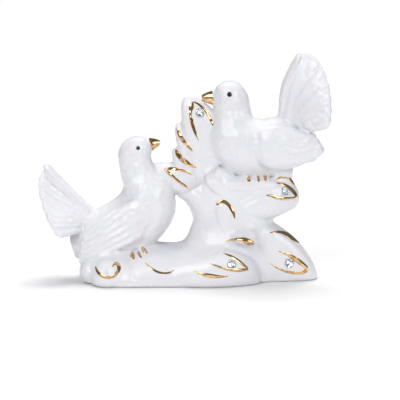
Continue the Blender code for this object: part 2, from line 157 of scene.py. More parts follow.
def rounded(value: float, fullness: float) -> float:
    """Push a circle's sine or cosine towards a square, or towards a crest below 2.

    Args:
        value: the sine or cosine.
        fullness: 2 keeps the circle, more squares it.

    Returns:
        The changed value, with the same sign.
    """
    return copysign(abs(value) ** (2.0 / fullness), value)


class Clay:
    """A mesh being modelled in parts of the figurine's length."""

    def __init__(self) -> None:
        """Start with an empty mesh."""
        self.mesh = bmesh.new()

    def wrap(self, place: Callable[[float, float], Vector], sides: int, rows: int) -> None:
        """Roll a flat grid into a closed tube.

        Args:
            place: gives the point at a share along and an angle round.
            sides: faces round the tube.
            rows: faces along it.
        """
        grid = bmesh.ops.create_grid(self.mesh, x_segments=sides, y_segments=rows, size=0.5)
        verts = grid["verts"]
        for vert in verts:
            vert.co = place(vert.co.y + 0.5, tau * (vert.co.x + 0.5)) * PART
        bmesh.ops.remove_doubles(self.mesh, verts=verts, dist=MERGE_DISTANCE)
        left = [vert for vert in verts if vert.is_valid]
        rims = {edge for vert in left for edge in vert.link_edges if edge.is_boundary}
        bmesh.ops.holes_fill(self.mesh, edges=list(rims), sides=sides + 1)

    def loft(
        self,
        stations: Sequence[Row],
        sides: int = 44,
        rows: int = 80,
        fullness: float = 2.0,
        keel: float = 0.0,
    ) -> None:
        """Model a body through chords of its side view.

        Args:
            stations: rows of x, z, x, z, half thickness and the y of the middle, if not 0.
            sides: faces round the body.
            rows: faces along it.
            fullness: how square the section is.
            keel: how much the section widens towards the second point.
        """
        level = [row if len(row) == 6 else (*row, 0.0) for row in stations]

        def place(along: float, angle: float) -> Vector:
            """Find a point of the body.

            Args:
                along: the share along it.
                angle: the angle round it.

            Returns:
                The point, in parts.
            """
            x1, z1, x2, z2, half, middle = smooth_value(level, along)
            centre = Vector(((x1 + x2) / 2, middle, (z1 + z2) / 2))
            chord = Vector(((x2 - x1) / 2, 0.0, (z2 - z1) / 2))
            reach = rounded(cos(angle), fullness)
            side = rounded(sin(angle), fullness) * half * (1 + keel * reach)
            return centre + chord * reach + Vector((0.0, side, 0.0))

        self.wrap(place, sides, rows)

    def blade(
        self,
        path: Sequence[Row],
        across: Vector,
        half_width: float,
        half_thick: float,
        root: float = 0.5,
        fullness: float = 2.0,
        sides: int = 20,
        rows: int = 26,
    ) -> None:
        """Model a feather or a leaf: a flat strip with a round tip.

        Args:
            path: points along its middle.
            across: the way its width runs.
            half_width: half its width.
            half_thick: half its thickness.
            root: its width at the start, as a share of the full width.
            fullness: how square the section is.
            sides: faces round it.
            rows: faces along it.
        """
        length = (Vector(path[-1]) - Vector(path[0])).length
        round_from = max(1 - half_width / length, 0.5)
        least = 0.08
        near = 0.02

        def place(along: float, angle: float) -> Vector:
            """Find a point of the strip.

            Args:
                along: the share along it.
                angle: the angle round it.

            Returns:
                The point, in parts.
            """
            centre = Vector(smooth_value(path, along))
            step = Vector(smooth_value(path, along + near))
            step -= Vector(smooth_value(path, along - near))
            if along <= round_from:
                wide = root + (1 - root) * along / round_from
                thick = 1.0
            else:
                past = (along - round_from) / (1 - round_from)
                wide = thick = max(sqrt(max(1 - past * past, 0.0)), least)
            out = step.cross(across).normalized()
            breadth = across * (rounded(cos(angle), fullness) * half_width * wide)
            return centre + breadth + out * (rounded(sin(angle), fullness) * half_thick * thick)

        self.wrap(place, sides, rows)

    def pebble(self, centre: Row, radii: Row, turn: float = 0.0) -> None:
        """Model an egg-shaped swelling.

        Args:
            centre: where it is.
            radii: its radii along X, Y and Z.
            turn: how far it is turned about Y, in radians.
        """
        size = Matrix.Diagonal((*(PART * radius for radius in radii), 1.0))
        spot = Matrix.Translation(Vector(centre) * PART)
        bmesh.ops.create_uvsphere(
            self.mesh, u_segments=32, v_segments=20, radius=1.0,
            matrix=spot @ Matrix.Rotation(turn, 4, "Y") @ size,
        )

    def pour(self, other: "Clay") -> None:
        """Add a copy of another mesh's forms to this one.

        Args:
            other: the mesh to copy from.
        """
        passing = bpy.data.meshes.new("passing")
        other.mesh.to_mesh(passing)
        self.mesh.from_mesh(passing)
        bpy.data.meshes.remove(passing)

    def mirror_depth(self) -> None:
        """Copy everything to the far side of the middle plane."""
        everything = self.mesh.verts[:] + self.mesh.edges[:] + self.mesh.faces[:]
        copy = bmesh.ops.duplicate(self.mesh, geom=everything)["geom"]
        verts = [item for item in copy if isinstance(item, bmesh.types.BMVert)]
        bmesh.ops.scale(self.mesh, vec=(1.0, -1.0, 1.0), verts=verts)

    def outward(self) -> None:
        """Turn every face outwards."""
        bmesh.ops.recalc_face_normals(self.mesh, faces=self.mesh.faces)

    def to_piece(self, name: str, material: bpy.types.Material) -> bpy.types.Object:
        """Finish the mesh as an object at the origin.

        Args:
            name: the piece's name.
            material: its finish.

        Returns:
            The new object, smooth shaded.
        """
        self.outward()
        data = bpy.data.meshes.new(name)
        self.mesh.to_mesh(data)
        self.mesh.free()
        data.materials.append(material)
        data.shade_smooth()
        return place_in_scene(name, data)


def seen_on_plane(point: Vector) -> Row:
    """Where a point shows on the middle plane, seen from the camera.

    Args:
        point: the point, in parts.

    Returns:
        The x and z where the sight line to it crosses the plane.
    """
    spot = EYE + (point - EYE) * (-EYE.y / (point.y - EYE.y))
    return (spot.x, spot.z)


@dataclass
class Groove:
    """A soft line pressed into the clay as it shows on the plane, or raised below a depth of 0."""

    points: list[Row]
    depth: float = 0.35
    width: float = 0.8
    sway: float = 0.0
    steps: int = 9
    sway_pitch: float = 2.3
    sway_start: float = 5.0

    def line(self) -> list[Row]:
        """Run a smooth curve through the points, swaying from side to side if asked.

        Returns:
            The x and z of points along it.
        """
        places = []
        for step in range(self.steps + 1):
            x, z = smooth_value(self.points, step / self.steps)
            angle = self.sway_pitch * step + self.sway_start * self.points[0][0]
            swing = self.sway * sin(angle)
            places.append((x + 0.5 * swing, z + swing))
        return places


class Sculpt:
    """A fused mesh that is worked on as a whole, as arrays of its points."""

    neighbours = 0.6  # how much of its neighbours' place a point takes in each pass
    grazing = 0.05  # how little a point may face the eye before grooves miss it
    easing = 0.35  # how much more it faces the eye where they press in full
    least_slope = 0.3  # the flattest wall that the foot's rounding draws in

    def __init__(self, data: bpy.types.Mesh) -> None:
        """Read the mesh.

        Args:
            data: the mesh to work on.
        """
        self.data = data
        self.places = self.read(data.vertices, "co") / PART
        self.facing = self.read(data.vertex_normals, "vector")
        ends = np.empty(len(data.edges) * 2, np.int32)
        data.edges.foreach_get("vertices", ends)
        self.ends = ends.reshape(-1, 2)

    def read(self, items: bpy.types.bpy_prop_collection, name: str) -> np.ndarray:
        """Read a vector of each item into rows of three.

        Args:
            items: the mesh's points or normals.
            name: the vector's name.

        Returns:
            One row for each item.
        """
        values = np.empty(len(items) * 3, np.float32)
        items.foreach_get(name, values)
        return values.reshape(-1, 3).astype(float)

    def store(self) -> None:
        """Write the points back and read the new normals."""
        self.data.vertices.foreach_set("co", (self.places * PART).astype(np.float32).ravel())
        self.data.update()
        self.facing = self.read(self.data.vertex_normals, "vector")

    def averaged(self, passes: int, among: np.ndarray) -> np.ndarray:
        """Smooth a copy of some of the points over their neighbours.

        Args:
            passes: how many times.
            among: which points are smoothed.

        Returns:
            All the points, those ones smoothed.
        """
        soft = self.places.copy()
        inner = np.flatnonzero(among)
        count = len(inner)
        place = np.full(len(soft), -1)
        place[inner] = np.arange(count)
        ends = place[self.ends]
        one, other = ends[(ends >= 0).all(axis=1)].T
        both, across = np.concatenate((one, other)), np.concatenate((other, one))
        valence = np.maximum(np.bincount(both, minlength=count), 1)
        taken = self.neighbours
        for axis in range(3):
            values = soft[inner, axis]
            for _ in range(passes):
                around = np.bincount(both, values[across], count) / valence
                values = (1 - taken) * values + taken * around
            soft[inner, axis] = values
        return soft

    def pool(self, passes: int, share: np.ndarray) -> None:
        """Fill creases as thick glaze does, and leave what stands out.

        Args:
            passes: how wide the filling reaches.
            share: how much of it each point takes.
        """
        moved = self.averaged(passes, share > 0.0) - self.places
        rise = np.einsum("ij,ij->i", moved, self.facing)
        self.places += self.facing * (np.clip(rise, 0.0, None) * share)[:, None]
        self.store()

    def soften(self, passes: int, share: np.ndarray) -> None:
        """Round corners off and fill what lies beside them.

        Args:
            passes: how wide the rounding reaches.
            share: how much of it each point takes.
        """
        self.places += (self.averaged(passes, share > 0.0) - self.places) * share[:, None]
        self.store()

    def seen(self, side: float) -> tuple[np.ndarray, np.ndarray, np.ndarray]:
        """Find where the points show on the middle plane from one side.

        Args:
            side: 1 for the near side, -1 for the far one in mirror.

        Returns:
            The x and z of each point on the plane and how much it faces the eye, from 0 to 1.
        """
        flip = np.array((1.0, side, 1.0))
        seen, eye = self.places * flip, np.array(EYE)
        sight = eye - seen
        sight /= np.linalg.norm(sight, axis=1)[:, None]
        turned = np.einsum("ij,ij->i", self.facing * flip, sight)
        share = -eye[1] / (seen[:, 1] - eye[1])
        x = eye[0] + (seen[:, 0] - eye[0]) * share
        z = eye[2] + (seen[:, 2] - eye[2]) * share
        return x, z, ramp(turned, self.grazing, self.grazing + self.easing)

    def press(self, grooves: Sequence[Groove]) -> None:
        """Press lines into both sides.

        Args:
            grooves: the lines.
        """
        pressed = np.zeros(len(self.places))
        for side in (1.0, -1.0):
            x, z, turned = self.seen(side)
            for groove in grooves:
                line = np.array(groove.line())
                low, high = line.min(0) - 3 * groove.width, line.max(0) + 3 * groove.width
                near = (x > low[0]) & (x < high[0]) & (z > low[1]) & (z < high[1]) & (turned > 0)
                near = np.flatnonzero(near)
                px, pz = x[near], z[near]
                off = np.full(len(near), np.inf)
                for (x1, z1), (x2, z2) in zip(line, line[1:]):
                    run = max((x2 - x1) ** 2 + (z2 - z1) ** 2, 1e-9)
                    along = np.clip(((px - x1) * (x2 - x1) + (pz - z1) * (z2 - z1)) / run, 0, 1)
                    gap = (px - x1 - along * (x2 - x1)) ** 2 + (pz - z1 - along * (z2 - z1)) ** 2
                    off = np.minimum(off, gap)
                pressed[near] += groove.depth * np.exp(-off / groove.width**2) * turned[near]
        self.places -= self.facing * pressed[:, None]
        self.store()

    def ruffle(self, height: float, size: float, share: np.ndarray) -> None:
        """Raise and lower the surface in soft spots, as worn feathers under glaze.

        Args:
            height: how far.
            size: how large the spots are.
            share: how much of it each point takes.
        """
        spots = np.array([noise.noise(Vector(place) / size) for place in self.places])
        self.places += self.facing * (height * spots * share)[:, None]
        self.store()

    def round_foot(self, radius: float) -> None:
        """Round the lower edge where it meets the floor.

        Args:
            radius: the edge's radius.
        """
        height = np.clip(self.places[:, 2], 0.0, radius)
        inward = radius - np.sqrt(radius**2 - (radius - height) ** 2)
        level = self.facing[:, :2]
        steep = np.maximum(np.linalg.norm(level, axis=1), self.least_slope)
        self.places[:, :2] -= level * (inward / steep)[:, None]
        self.store()


# ---- finishes -------------------------------------------------------------------------------


class Bench:
    """A material and the wiring of its nodes."""

    def __init__(self, name: str) -> None:
        """Start a material with one Principled shader.

        Args:
            name: the material's name.
        """
        self.material = bpy.data.materials.new(name)
        self.material.use_nodes = True
        self.tree = self.material.node_tree
        self.shader = self.tree.nodes["Principled BSDF"]
        self.place = self.tree.nodes.new("ShaderNodeTexCoord").outputs["Object"]

    def fix(self, sockets: Sequence[tuple[str, object]]) -> None:
        """Set some of the shader's own sockets.

        Args:
            sockets: their names and values.
        """
        for name, value in sockets:
            self.shader.inputs[name].default_value = value

    def noise(self, size: float, detail: float = 2.0) -> bpy.types.NodeSocket:
        """Make a cloudy pattern on the object's own coordinates.

        Args:
            size: how large its clouds are, in metres.
            detail: how many finer layers it has.

        Returns:
            The pattern's value, around a half.
        """
        cloud = self.tree.nodes.new("ShaderNodeTexNoise")
        cloud.inputs["Scale"].default_value = 1.0 / size
        cloud.inputs["Detail"].default_value = detail
        self.tree.links.new(self.place, cloud.inputs["Vector"])
        return cloud.outputs["Fac"]

    def roughen(self, source: bpy.types.NodeSocket, low: float, high: float) -> None:
        """Drive the shader's roughness between two values.

        Args:
            source: the pattern that drives it.
            low: the roughness where the pattern is low.
            high: the roughness where the pattern is high.
        """
        scale = self.tree.nodes.new("ShaderNodeMapRange")
        scale.inputs["From Min"].default_value = 0.3
        scale.inputs["From Max"].default_value = 0.7
        scale.inputs["To Min"].default_value = low
        scale.inputs["To Max"].default_value = high
        self.tree.links.new(source, scale.inputs["Value"])
        self.tree.links.new(scale.outputs["Result"], self.shader.inputs["Roughness"])

    def tint(self, source: bpy.types.NodeSocket, places: Row, colours: Sequence[Row]) -> None:
        """Colour the shader by a pattern, between two colours.

        Args:
            source: the pattern.
            places: where on the pattern's range each colour is pure.
            colours: the two colours.
        """
        blend = self.tree.nodes.new("ShaderNodeValToRGB")
        for mark, place, colour in zip(blend.color_ramp.elements, places, colours):
            mark.position = place
            mark.color = (*colour, 1.0)
        self.tree.links.new(source, blend.inputs["Fac"])
        self.tree.links.new(blend.outputs["Color"], self.shader.inputs["Base Color"])

    def ripple(self, source: bpy.types.NodeSocket, height: float) -> None:
        """Roughen the surface with a pattern.

        Args:
            source: the pattern.
            height: how high it stands, in metres.
        """
        bump = self.tree.nodes.new("ShaderNodeBump")
        bump.inputs["Distance"].default_value = height
        self.tree.links.new(source, bump.inputs["Height"])
        self.tree.links.new(bump.outputs["Normal"], self.shader.inputs["Normal"])


@dataclass(frozen=True)
class Finish:
    """Set sockets, two colours in clouds, an uneven roughness and, if it has one, a ripple."""

    name: str
    roughness: Row
    roughness_size: float
    sockets: tuple[tuple[str, object], ...] = ()
    colours: tuple[Row, ...] = ()
    colour_places: Row = (0.4, 0.6)
    colour_size: float = 0.01
    ripple_height: float = 0.0
    ripple_size: float = 0.001
    ripple_detail: float = 2.0

    def material(self) -> bpy.types.Material:
        """Wire the finish.

        Returns:
            The material.
        """
        bench = Bench(self.name)
        bench.fix(self.sockets)
        if self.colours:
            bench.tint(bench.noise(self.colour_size), self.colour_places, self.colours)
        bench.roughen(bench.noise(self.roughness_size), *self.roughness)
        if self.ripple_height:
            bench.ripple(bench.noise(self.ripple_size, self.ripple_detail), self.ripple_height)
        return bench.material


@dataclass(frozen=True)
class Glaze(Finish):
    """A clear glossy glaze over white porcelain, a little cooler and darker in soft random clouds.
    """

    name: str = "white_glaze"
    roughness: Row = (0.28, 0.36)
    roughness_size: float = 0.012
    sockets: tuple[tuple[str, object], ...] = (
        ("Coat Weight", 0.3), ("Coat Roughness", 0.18), ("IOR", 1.46),
        ("Subsurface Weight", 0.12), ("Subsurface Scale", 0.002),
    )
    colours: tuple[Row, ...] = ((0.715, 0.715, 0.75), (0.735, 0.735, 0.765))
    colour_places: Row = (0.35, 0.65)
    colour_size: float = 0.02
    ripple_height: float = 0.00006
    ripple_size: float = 0.004
    ripple_detail: float = 3.0


@dataclass(frozen=True)
class GoldLustre(Finish):
    """Bright gold lustre brushed thin on the glaze, browner in random clouds: partly thin lustre,
    partly painted dark reflection.
    """

    name: str = "gold_lustre"
    roughness: Row = (0.06, 0.16)
    roughness_size: float = 0.003
    sockets: tuple[tuple[str, object], ...] = (("Metallic", 1.0),)
    # the browner colour is partly painted dark reflection and partly thin lustre, laid in random
    # clouds
    colours: tuple[Row, ...] = ((0.50, 0.31, 0.16), (0.82, 0.56, 0.28))
    colour_places: Row = (0.38, 0.60)
    colour_size: float = 0.0022
    ripple_height: float = 0.00003
    ripple_size: float = 0.002


@dataclass(frozen=True)
class Enamel(Finish):
    """Black enamel, fired glossy."""

    name: str = "black_enamel"
    roughness: Row = (0.10, 0.18)
    roughness_size: float = 0.0012
    sockets: tuple[tuple[str, object], ...] = (("Coat Weight", 0.6), ("Coat Roughness", 0.04))
    colours: tuple[Row, ...] = ((0.006, 0.006, 0.008), (0.016, 0.015, 0.018))
    colour_size: float = 0.0008


@dataclass(frozen=True)
class Crystal(Finish):
    """Clear cut crystal, see-through."""

    name: str = "clear_crystal"
    roughness: Row = (0.0, 0.03)
    roughness_size: float = 0.0006
    sockets: tuple[tuple[str, object], ...] = (
        ("Base Color", (0.97, 0.98, 1.0, 1.0)), ("IOR", 1.58), ("Transmission Weight", 1.0),
    )


@dataclass(frozen=True)
class Foil(Finish):
    """Silver foil behind a stone."""

    name: str = "silver_foil"
    roughness: Row = (0.3, 0.45)
    roughness_size: float = 0.0007
    sockets: tuple[tuple[str, object], ...] = (("Metallic", 1.0),)
    colours: tuple[Row, ...] = ((0.70, 0.71, 0.74), (0.93, 0.93, 0.95))
    colour_size: float = 0.0005
    ripple_height: float = 0.00003
    ripple_size: float = 0.0004


@dataclass(frozen=True)
class Paper(Finish):
    """The pale paper of the studio floor."""

    name: str = "pale_paper"
    roughness: Row = (0.7, 0.8)
    roughness_size: float = 0.03
    colours: tuple[Row, ...] = ((0.83, 0.83, 0.83), (0.84, 0.84, 0.84))
    colour_size: float = 0.05


# ---- the doves ------------------------------------------------------------------------------


@dataclass
class TailFan:
    """A raised fan of feathers: the middle one leans as given and the side ones sweep back."""

    foot: Vector
    lean: float
    turn: int
    tall: float
    deep: float
    bow: float
    peak: float
    roundness: float
    overlap: float
    narrowing: float
    feathers_a_side: int = 6
    half_spread: float = 16.0
    half_foot: float = 4.6
    sweep: float = radians(73.0)
    thickness: float = 3.8
    hinge_back: float = 2.2
    foot_back: float = 9.0
    foot_drop: float = 3.4
    belly: float = 1.12
    groove_depth: float = 0.35
    groove_width: float = 0.95
    groove_places: tuple[float, ...] = (0.5,)

    def feathers(self) -> list[tuple[Vector, Vector, Vector]]:
        """Where each feather starts, bends and ends.

        Returns:
            The three points of each feather, from the far side to the near one.
        """
        centre = Vector((cos(self.lean), 0.0, sin(self.lean)))
        back_angle = self.lean + self.turn * pi / 2
        back = Vector((cos(back_angle), 0.0, sin(back_angle)))
        hinge = self.foot + back * self.hinge_back
        count = self.feathers_a_side
        places = []
        for number in range(-count, count + 1):
            share = abs(number) / count
            swing = self.sweep * share
            along_tall = (cos(swing - self.peak) / self.tall) ** self.roundness
            along_deep = (abs(sin(swing - self.peak)) / self.deep) ** self.roundness
            reach = (along_tall + along_deep) ** (-1 / self.roundness)
            aside = copysign(1 - (1 - share) ** 2, number)
            out = (centre * cos(swing) + back * sin(swing)) * reach
            tip = hinge + out + Vector((0.0, self.half_spread * aside, 0.0))
            start = self.foot + Vector((0.0, self.half_foot * aside, 0.0))
            start += back * (self.foot_back * share) - centre * (self.foot_drop * share**2)
            middle = (start + tip) / 2 - back * (self.bow * (1 - share))
            middle.y *= self.belly
            places.append((start, middle, tip))
        return places

    def shape(self, clay: Clay) -> None:
        """Model the fan.

        Args:
            clay: the mesh to add it to.
        """
        places = self.feathers()
        last = len(places) - 1
        for number, (start, middle, tip) in enumerate(places):
            after, before = min(number + 1, last), max(number - 1, 0)
            gap = places[after][2] - places[before][2]
            spacing = gap.length / (after - before)
            share = abs(number - self.feathers_a_side) / self.feathers_a_side
            clay.blade(
                [tuple(start), tuple(middle), tuple(tip)], gap.normalized(),
                half_width=self.overlap * spacing * (1 - self.narrowing * share),
                half_thick=self.thickness / 2, fullness=CREST, sides=28, rows=40,
            )

    def grooves(self) -> list[Groove]:
        """The lines between the feathers of the near side and along them.

        Returns:
            The grooves, in every space between two feathers.
        """
        places = self.feathers()[: self.feathers_a_side + 1]
        lines = []
        for one, other in zip(places, places[1:]):
            for share in self.groove_places:
                points = [seen_on_plane(a.lerp(b, share)) for a, b in zip(one, other)]
                depth = self.groove_depth * (1.0 - abs(share - 0.5))
                lines.append(Groove(points, depth, self.groove_width, sway=0.25))
        return lines


@dataclass
class FoldedWing:
    """A folded wing: its plump form, its long feathers and the short ones over its shoulder."""

    form: list[Row]
    roots: list[Row]
    tips: list[Row]
    out: float
    coverts: list[Groove]
    feathers: int = 6
    width: float = 5.4
    thickness: float = 3.8
    root_share: float = 0.7
    groove_depth: float = 0.35
    groove_width: float = 0.8

    def quill(self, share: float) -> tuple[Vector, Vector, Vector]:
        """Where one feather starts, swells and ends.

        Args:
            share: how far down the wing it lies, from 0 to 1.

        Returns:
            Its three points.
        """
        root = Vector(smooth_value(self.roots, share))
        tip = Vector(smooth_value(self.tips, share))
        return root, (root + tip) / 2 + Vector((0.0, -self.out, 0.0)), tip

    def shape(self, flank: Clay) -> None:
        """Model the wing.

        Args:
            flank: the mesh of what is on the near side.
        """
        flank.loft(self.form, sides=36, rows=52)
        for number in range(self.feathers):
            root, swell, tip = self.quill(number / (self.feathers - 1))
            across = (tip - root).cross(Vector((0.0, 1.0, 0.0))).normalized()
            flank.blade(
                [tuple(root), tuple(swell), tuple(tip)], across,
                half_width=self.width / 2, half_thick=self.thickness / 2, root=self.root_share,
                fullness=CREST,
            )

    def grooves(self) -> list[Groove]:
        """The lines between the long feathers and round the short ones.

        Returns:
            The grooves of the wing.
        """
        lines = []
        for number in range(self.feathers - 1):
            places = self.quill((number + 0.5) / (self.feathers - 1))
            points = [seen_on_plane(place) for place in places]
            lines.append(Groove(points, self.groove_depth, self.groove_width, sway=0.35))
        return lines + self.coverts


@dataclass
class Dove:
    """A dove: its body, beak, tail and folded wing, and the creases of its body."""

    body: list[Row]
    beak: list[Row]
    tail: TailFan
    wing: FoldedWing
    creases: list[Groove]

    def grooves(self) -> list[Groove]:
        """Gather the lines of the tail, the wing and the body."""
        return self.tail.grooves() + self.wing.grooves() + self.creases

    def shape(self, clay: Clay, flank: Clay) -> None:
        """Model the dove.

        Args:
            clay: the mesh of what lies across the middle.
            flank: the mesh of what is on the near side.
        """
        clay.loft(self.body, keel=0.08, rows=110)
        clay.loft(self.beak, sides=24, rows=20)
        self.wing.shape(flank)
        self.tail.shape(clay)


@dataclass
class LowDove(Dove):
    """The dove at the left, looking right."""

    body: list[Row] = field(default_factory=lambda: [
        (-59.2, 21.6, -55.7, 10.6, 5.4), (-50.6, 33.4, -46.4, 8.8, 9.4),
        (-43.4, 37.2, -35.7, 8.7, 11.4), (-38.3, 40.2, -25.4, 11.0, 12.3),
        (-33.8, 43.4, -14.4, 19.4, 13.4), (-31.4, 47.4, -6.4, 30.0, 13.4),
        (-32.0, 51.5, -4.4, 39.6, 12.8), (-32.9, 55.7, -7.0, 48.2, 10.8),
        (-33.7, 60.4, -13.4, 55.9, 9.0), (-33.8, 64.6, -16.8, 61.9, 7.8),
        (-32.6, 68.8, -16.6, 67.1, 7.4), (-29.3, 72.2, -18.0, 71.6, 6.0),
        (-26.6, 73.6, -21.6, 73.6, 2.8),
    ])
    beak: list[Row] = field(default_factory=lambda: [
        (-21.5, 73.2, -19.0, 65.4, 3.1), (-18.0, 72.7, -16.2, 66.6, 2.5),
        (-15.0, 72.3, -14.2, 68.4, 1.7), (-12.5, 71.4, -12.4, 69.8, 0.7),
    ])
    tail: TailFan = field(default_factory=lambda: TailFan(
        foot=Vector((-47.8, 0.0, 35.2)), lean=radians(131.2), turn=1, tall=34.2, deep=17.3,
        bow=-0.4, peak=radians(-4.0), roundness=2.0, overlap=0.95, narrowing=0.14,
        groove_depth=0.6, groove_places=(0.0, 0.5),
    ))
    wing: FoldedWing = field(default_factory=lambda: FoldedWing(
        form=[
            (-16.4, 42.0, -17.4, 35.0, 1.8, -11.0), (-23.6, 43.5, -22.3, 28.0, 3.4, -12.0),
            (-32.1, 39.8, -28.4, 21.4, 3.7, -11.6), (-40.3, 34.6, -35.4, 16.8, 3.4, -10.6),
            (-46.5, 27.9, -42.6, 13.0, 2.9, -9.2), (-50.8, 20.1, -48.4, 10.2, 2.2, -8.0),
            (-54.0, 11.9, -53.2, 8.3, 1.2, -7.2),
        ],
        roots=[(-34.0, -13.0, 37.5), (-27.4, -13.6, 32.0), (-21.6, -13.0, 25.4)],
        tips=[(-50.0, -9.4, 25.0), (-52.8, -9.4, 16.5), (-53.6, -9.2, 9.8)],
        out=2.6,
        coverts=[
            Groove([(-42.6, 31.4), (-39.1, 32.7), (-35.7, 34.0)], 0.3, 0.8),
            Groove([(-45.1, 27.1), (-40.8, 29.7), (-36.6, 30.5), (-32.3, 31.4)], 0.3, 0.8),
            Groove([(-35.0, 36.6), (-31.0, 38.4), (-27.0, 38.2)], 0.25, 1.0),
            Groove([(-31.5, 32.6), (-27.6, 35.0), (-24.0, 34.6)], 0.25, 1.0),
            Groove([(-28.0, 41.5), (-24.0, 41.8), (-20.6, 39.4)], -0.3, 1.4),
        ],
    ))
    creases: list[Groove] = field(default_factory=lambda: [
        Groove([(-22.0, 60.0), (-20.3, 56.5), (-17.7, 52.2), (-11.7, 46.1)], -0.3, 1.2),
        Groove([(-20.3, 53.9), (-16.0, 51.3), (-12.6, 49.6)], 0.25, 0.8),
        Groove([(-18.6, 57.4), (-15.4, 55.0), (-12.0, 53.6)], 0.25, 0.8),
        Groove([(-16.4, 39.2), (-16.0, 34.0), (-17.3, 27.9), (-20.3, 22.7)], 0.5, 1.6),
        Groove([(-28.9, 62.6), (-27.1, 57.4), (-23.7, 53.1)], 0.5, 3.0),
        Groove([(-19.6, 70.8), (-20.6, 68.4), (-20.4, 65.6)], 0.25, 0.9),
    ])


@dataclass
class HighDove(Dove):
    """The dove at the right, looking left, on the branch."""

    body: list[Row] = field(default_factory=lambda: [
        (65.3, 74.0, 56.2, 58.2, 4.4), (62.4, 78.6, 47.5, 54.0, 8.2),
        (58.3, 81.7, 36.2, 52.2, 11.3), (53.2, 84.0, 24.4, 53.8, 12.8),
        (48.0, 83.9, 16.4, 60.8, 13.1), (43.9, 83.2, 13.1, 68.0, 12.4),
        (39.8, 82.6, 13.0, 74.9, 10.9), (35.2, 83.8, 14.6, 82.5, 9.0),
        (33.6, 88.6, 14.8, 88.6, 7.9), (32.5, 94.0, 15.0, 94.0, 7.6),
        (30.0, 98.9, 16.3, 99.0, 6.4), (26.4, 102.0, 20.4, 102.0, 2.9),
    ])
    beak: list[Row] = field(default_factory=lambda: [
        (18.5, 98.6, 20.5, 88.2, 3.3), (14.2, 96.9, 15.4, 89.8, 2.7),
        (11.3, 95.9, 11.6, 91.2, 1.8), (8.9, 94.6, 8.9, 92.2, 0.9),
    ])
    tail: TailFan = field(default_factory=lambda: TailFan(
        foot=Vector((49.6, 0.0, 82.4)), lean=radians(78.0), turn=-1, tall=35.9, deep=21.0,
        bow=3.0, peak=radians(7.0), roundness=1.75, overlap=1.15, narrowing=0.33,
        groove_depth=0.1,
    ))
    wing: FoldedWing = field(default_factory=lambda: FoldedWing(
        form=[
            (34.6, 76.5, 35.2, 64.5, 1.8, -10.4), (40.5, 79.5, 40.8, 59.8, 3.6, -11.8),
            (48.2, 80.3, 49.8, 58.4, 3.9, -11.4), (56.2, 79.0, 58.2, 59.6, 3.4, -9.8),
            (63.0, 75.6, 64.0, 62.8, 2.8, -8.0), (68.4, 71.6, 68.6, 65.2, 2.1, -6.6),
            (70.9, 68.7, 70.9, 66.0, 1.2, -6.0),
        ],
        roots=[(50.0, -11.8, 77.0), (46.0, -13.4, 69.5), (43.5, -12.6, 61.5)],
        tips=[(66.0, -8.2, 73.2), (70.2, -7.8, 67.8), (66.6, -8.2, 64.6)],
        out=2.0,
        coverts=[
            Groove([(48.0, 72.5), (50.5, 73.6), (53.5, 72.5)], 0.3, 0.7),
            Groove([(49.1, 69.2), (52.0, 70.2), (54.9, 69.0)], 0.3, 0.7),
            Groove([(50.0, 66.0), (53.0, 66.8), (56.0, 65.6)], 0.3, 0.7),
            Groove([(54.5, 72.0), (57.5, 72.6), (60.0, 71.2)], 0.25, 0.7),
            Groove([(46.9, 77.0), (53.5, 78.4), (59.3, 77.7), (63.7, 75.5)], 0.3, 0.9),
            Groove([(54.9, 63.6), (60.8, 64.7), (69.6, 66.6)], 0.3, 0.7),
            Groove([(56.4, 67.2), (62.3, 68.1), (66.7, 68.4)], 0.25, 0.7),
        ],
        groove_depth=0.12,
    ))
    creases: list[Groove] = field(default_factory=lambda: [
        Groove([(34.0, 72.5), (33.8, 68.1), (35.1, 63.6), (38.0, 59.1), (41.4, 56.2)], 0.7, 1.1),
        Groove([(21.5, 88.1), (21.5, 82.9), (21.9, 77.0)], 0.4, 1.8),
        Groove([(30.0, 88.9), (29.2, 84.4), (30.0, 78.5), (32.2, 74.0)], 0.35, 2.0),
        Groove([(58.6, 82.9), (60.8, 77.7), (65.9, 76.2)], 0.4, 1.0),
        Groove([(62.3, 116.0), (58.6, 108.2), (55.7, 99.3), (53.5, 90.3), (52.7, 84.4)], -0.4, 1.4),
        Groove([(68.9, 110.4), (66.7, 106.7)], 0.35, 0.8),
        Groove([(72.5, 105.2), (68.9, 102.2)], 0.35, 0.8),
        Groove([(73.6, 99.3), (69.6, 97.0)], 0.35, 0.8),
        Groove([(74.4, 92.6), (70.3, 91.8)], 0.35, 0.8),
        Groove([(73.3, 84.4), (68.9, 85.9)], 0.35, 0.8),
        Groove([(66.7, 77.6), (64.5, 81.0)], 0.35, 0.8),
        Groove([(16.8, 97.6), (17.6, 94.0), (17.2, 90.4)], 0.25, 0.9),
    ])


# ---- the wave and its leaves ----------------------------------------------------------------


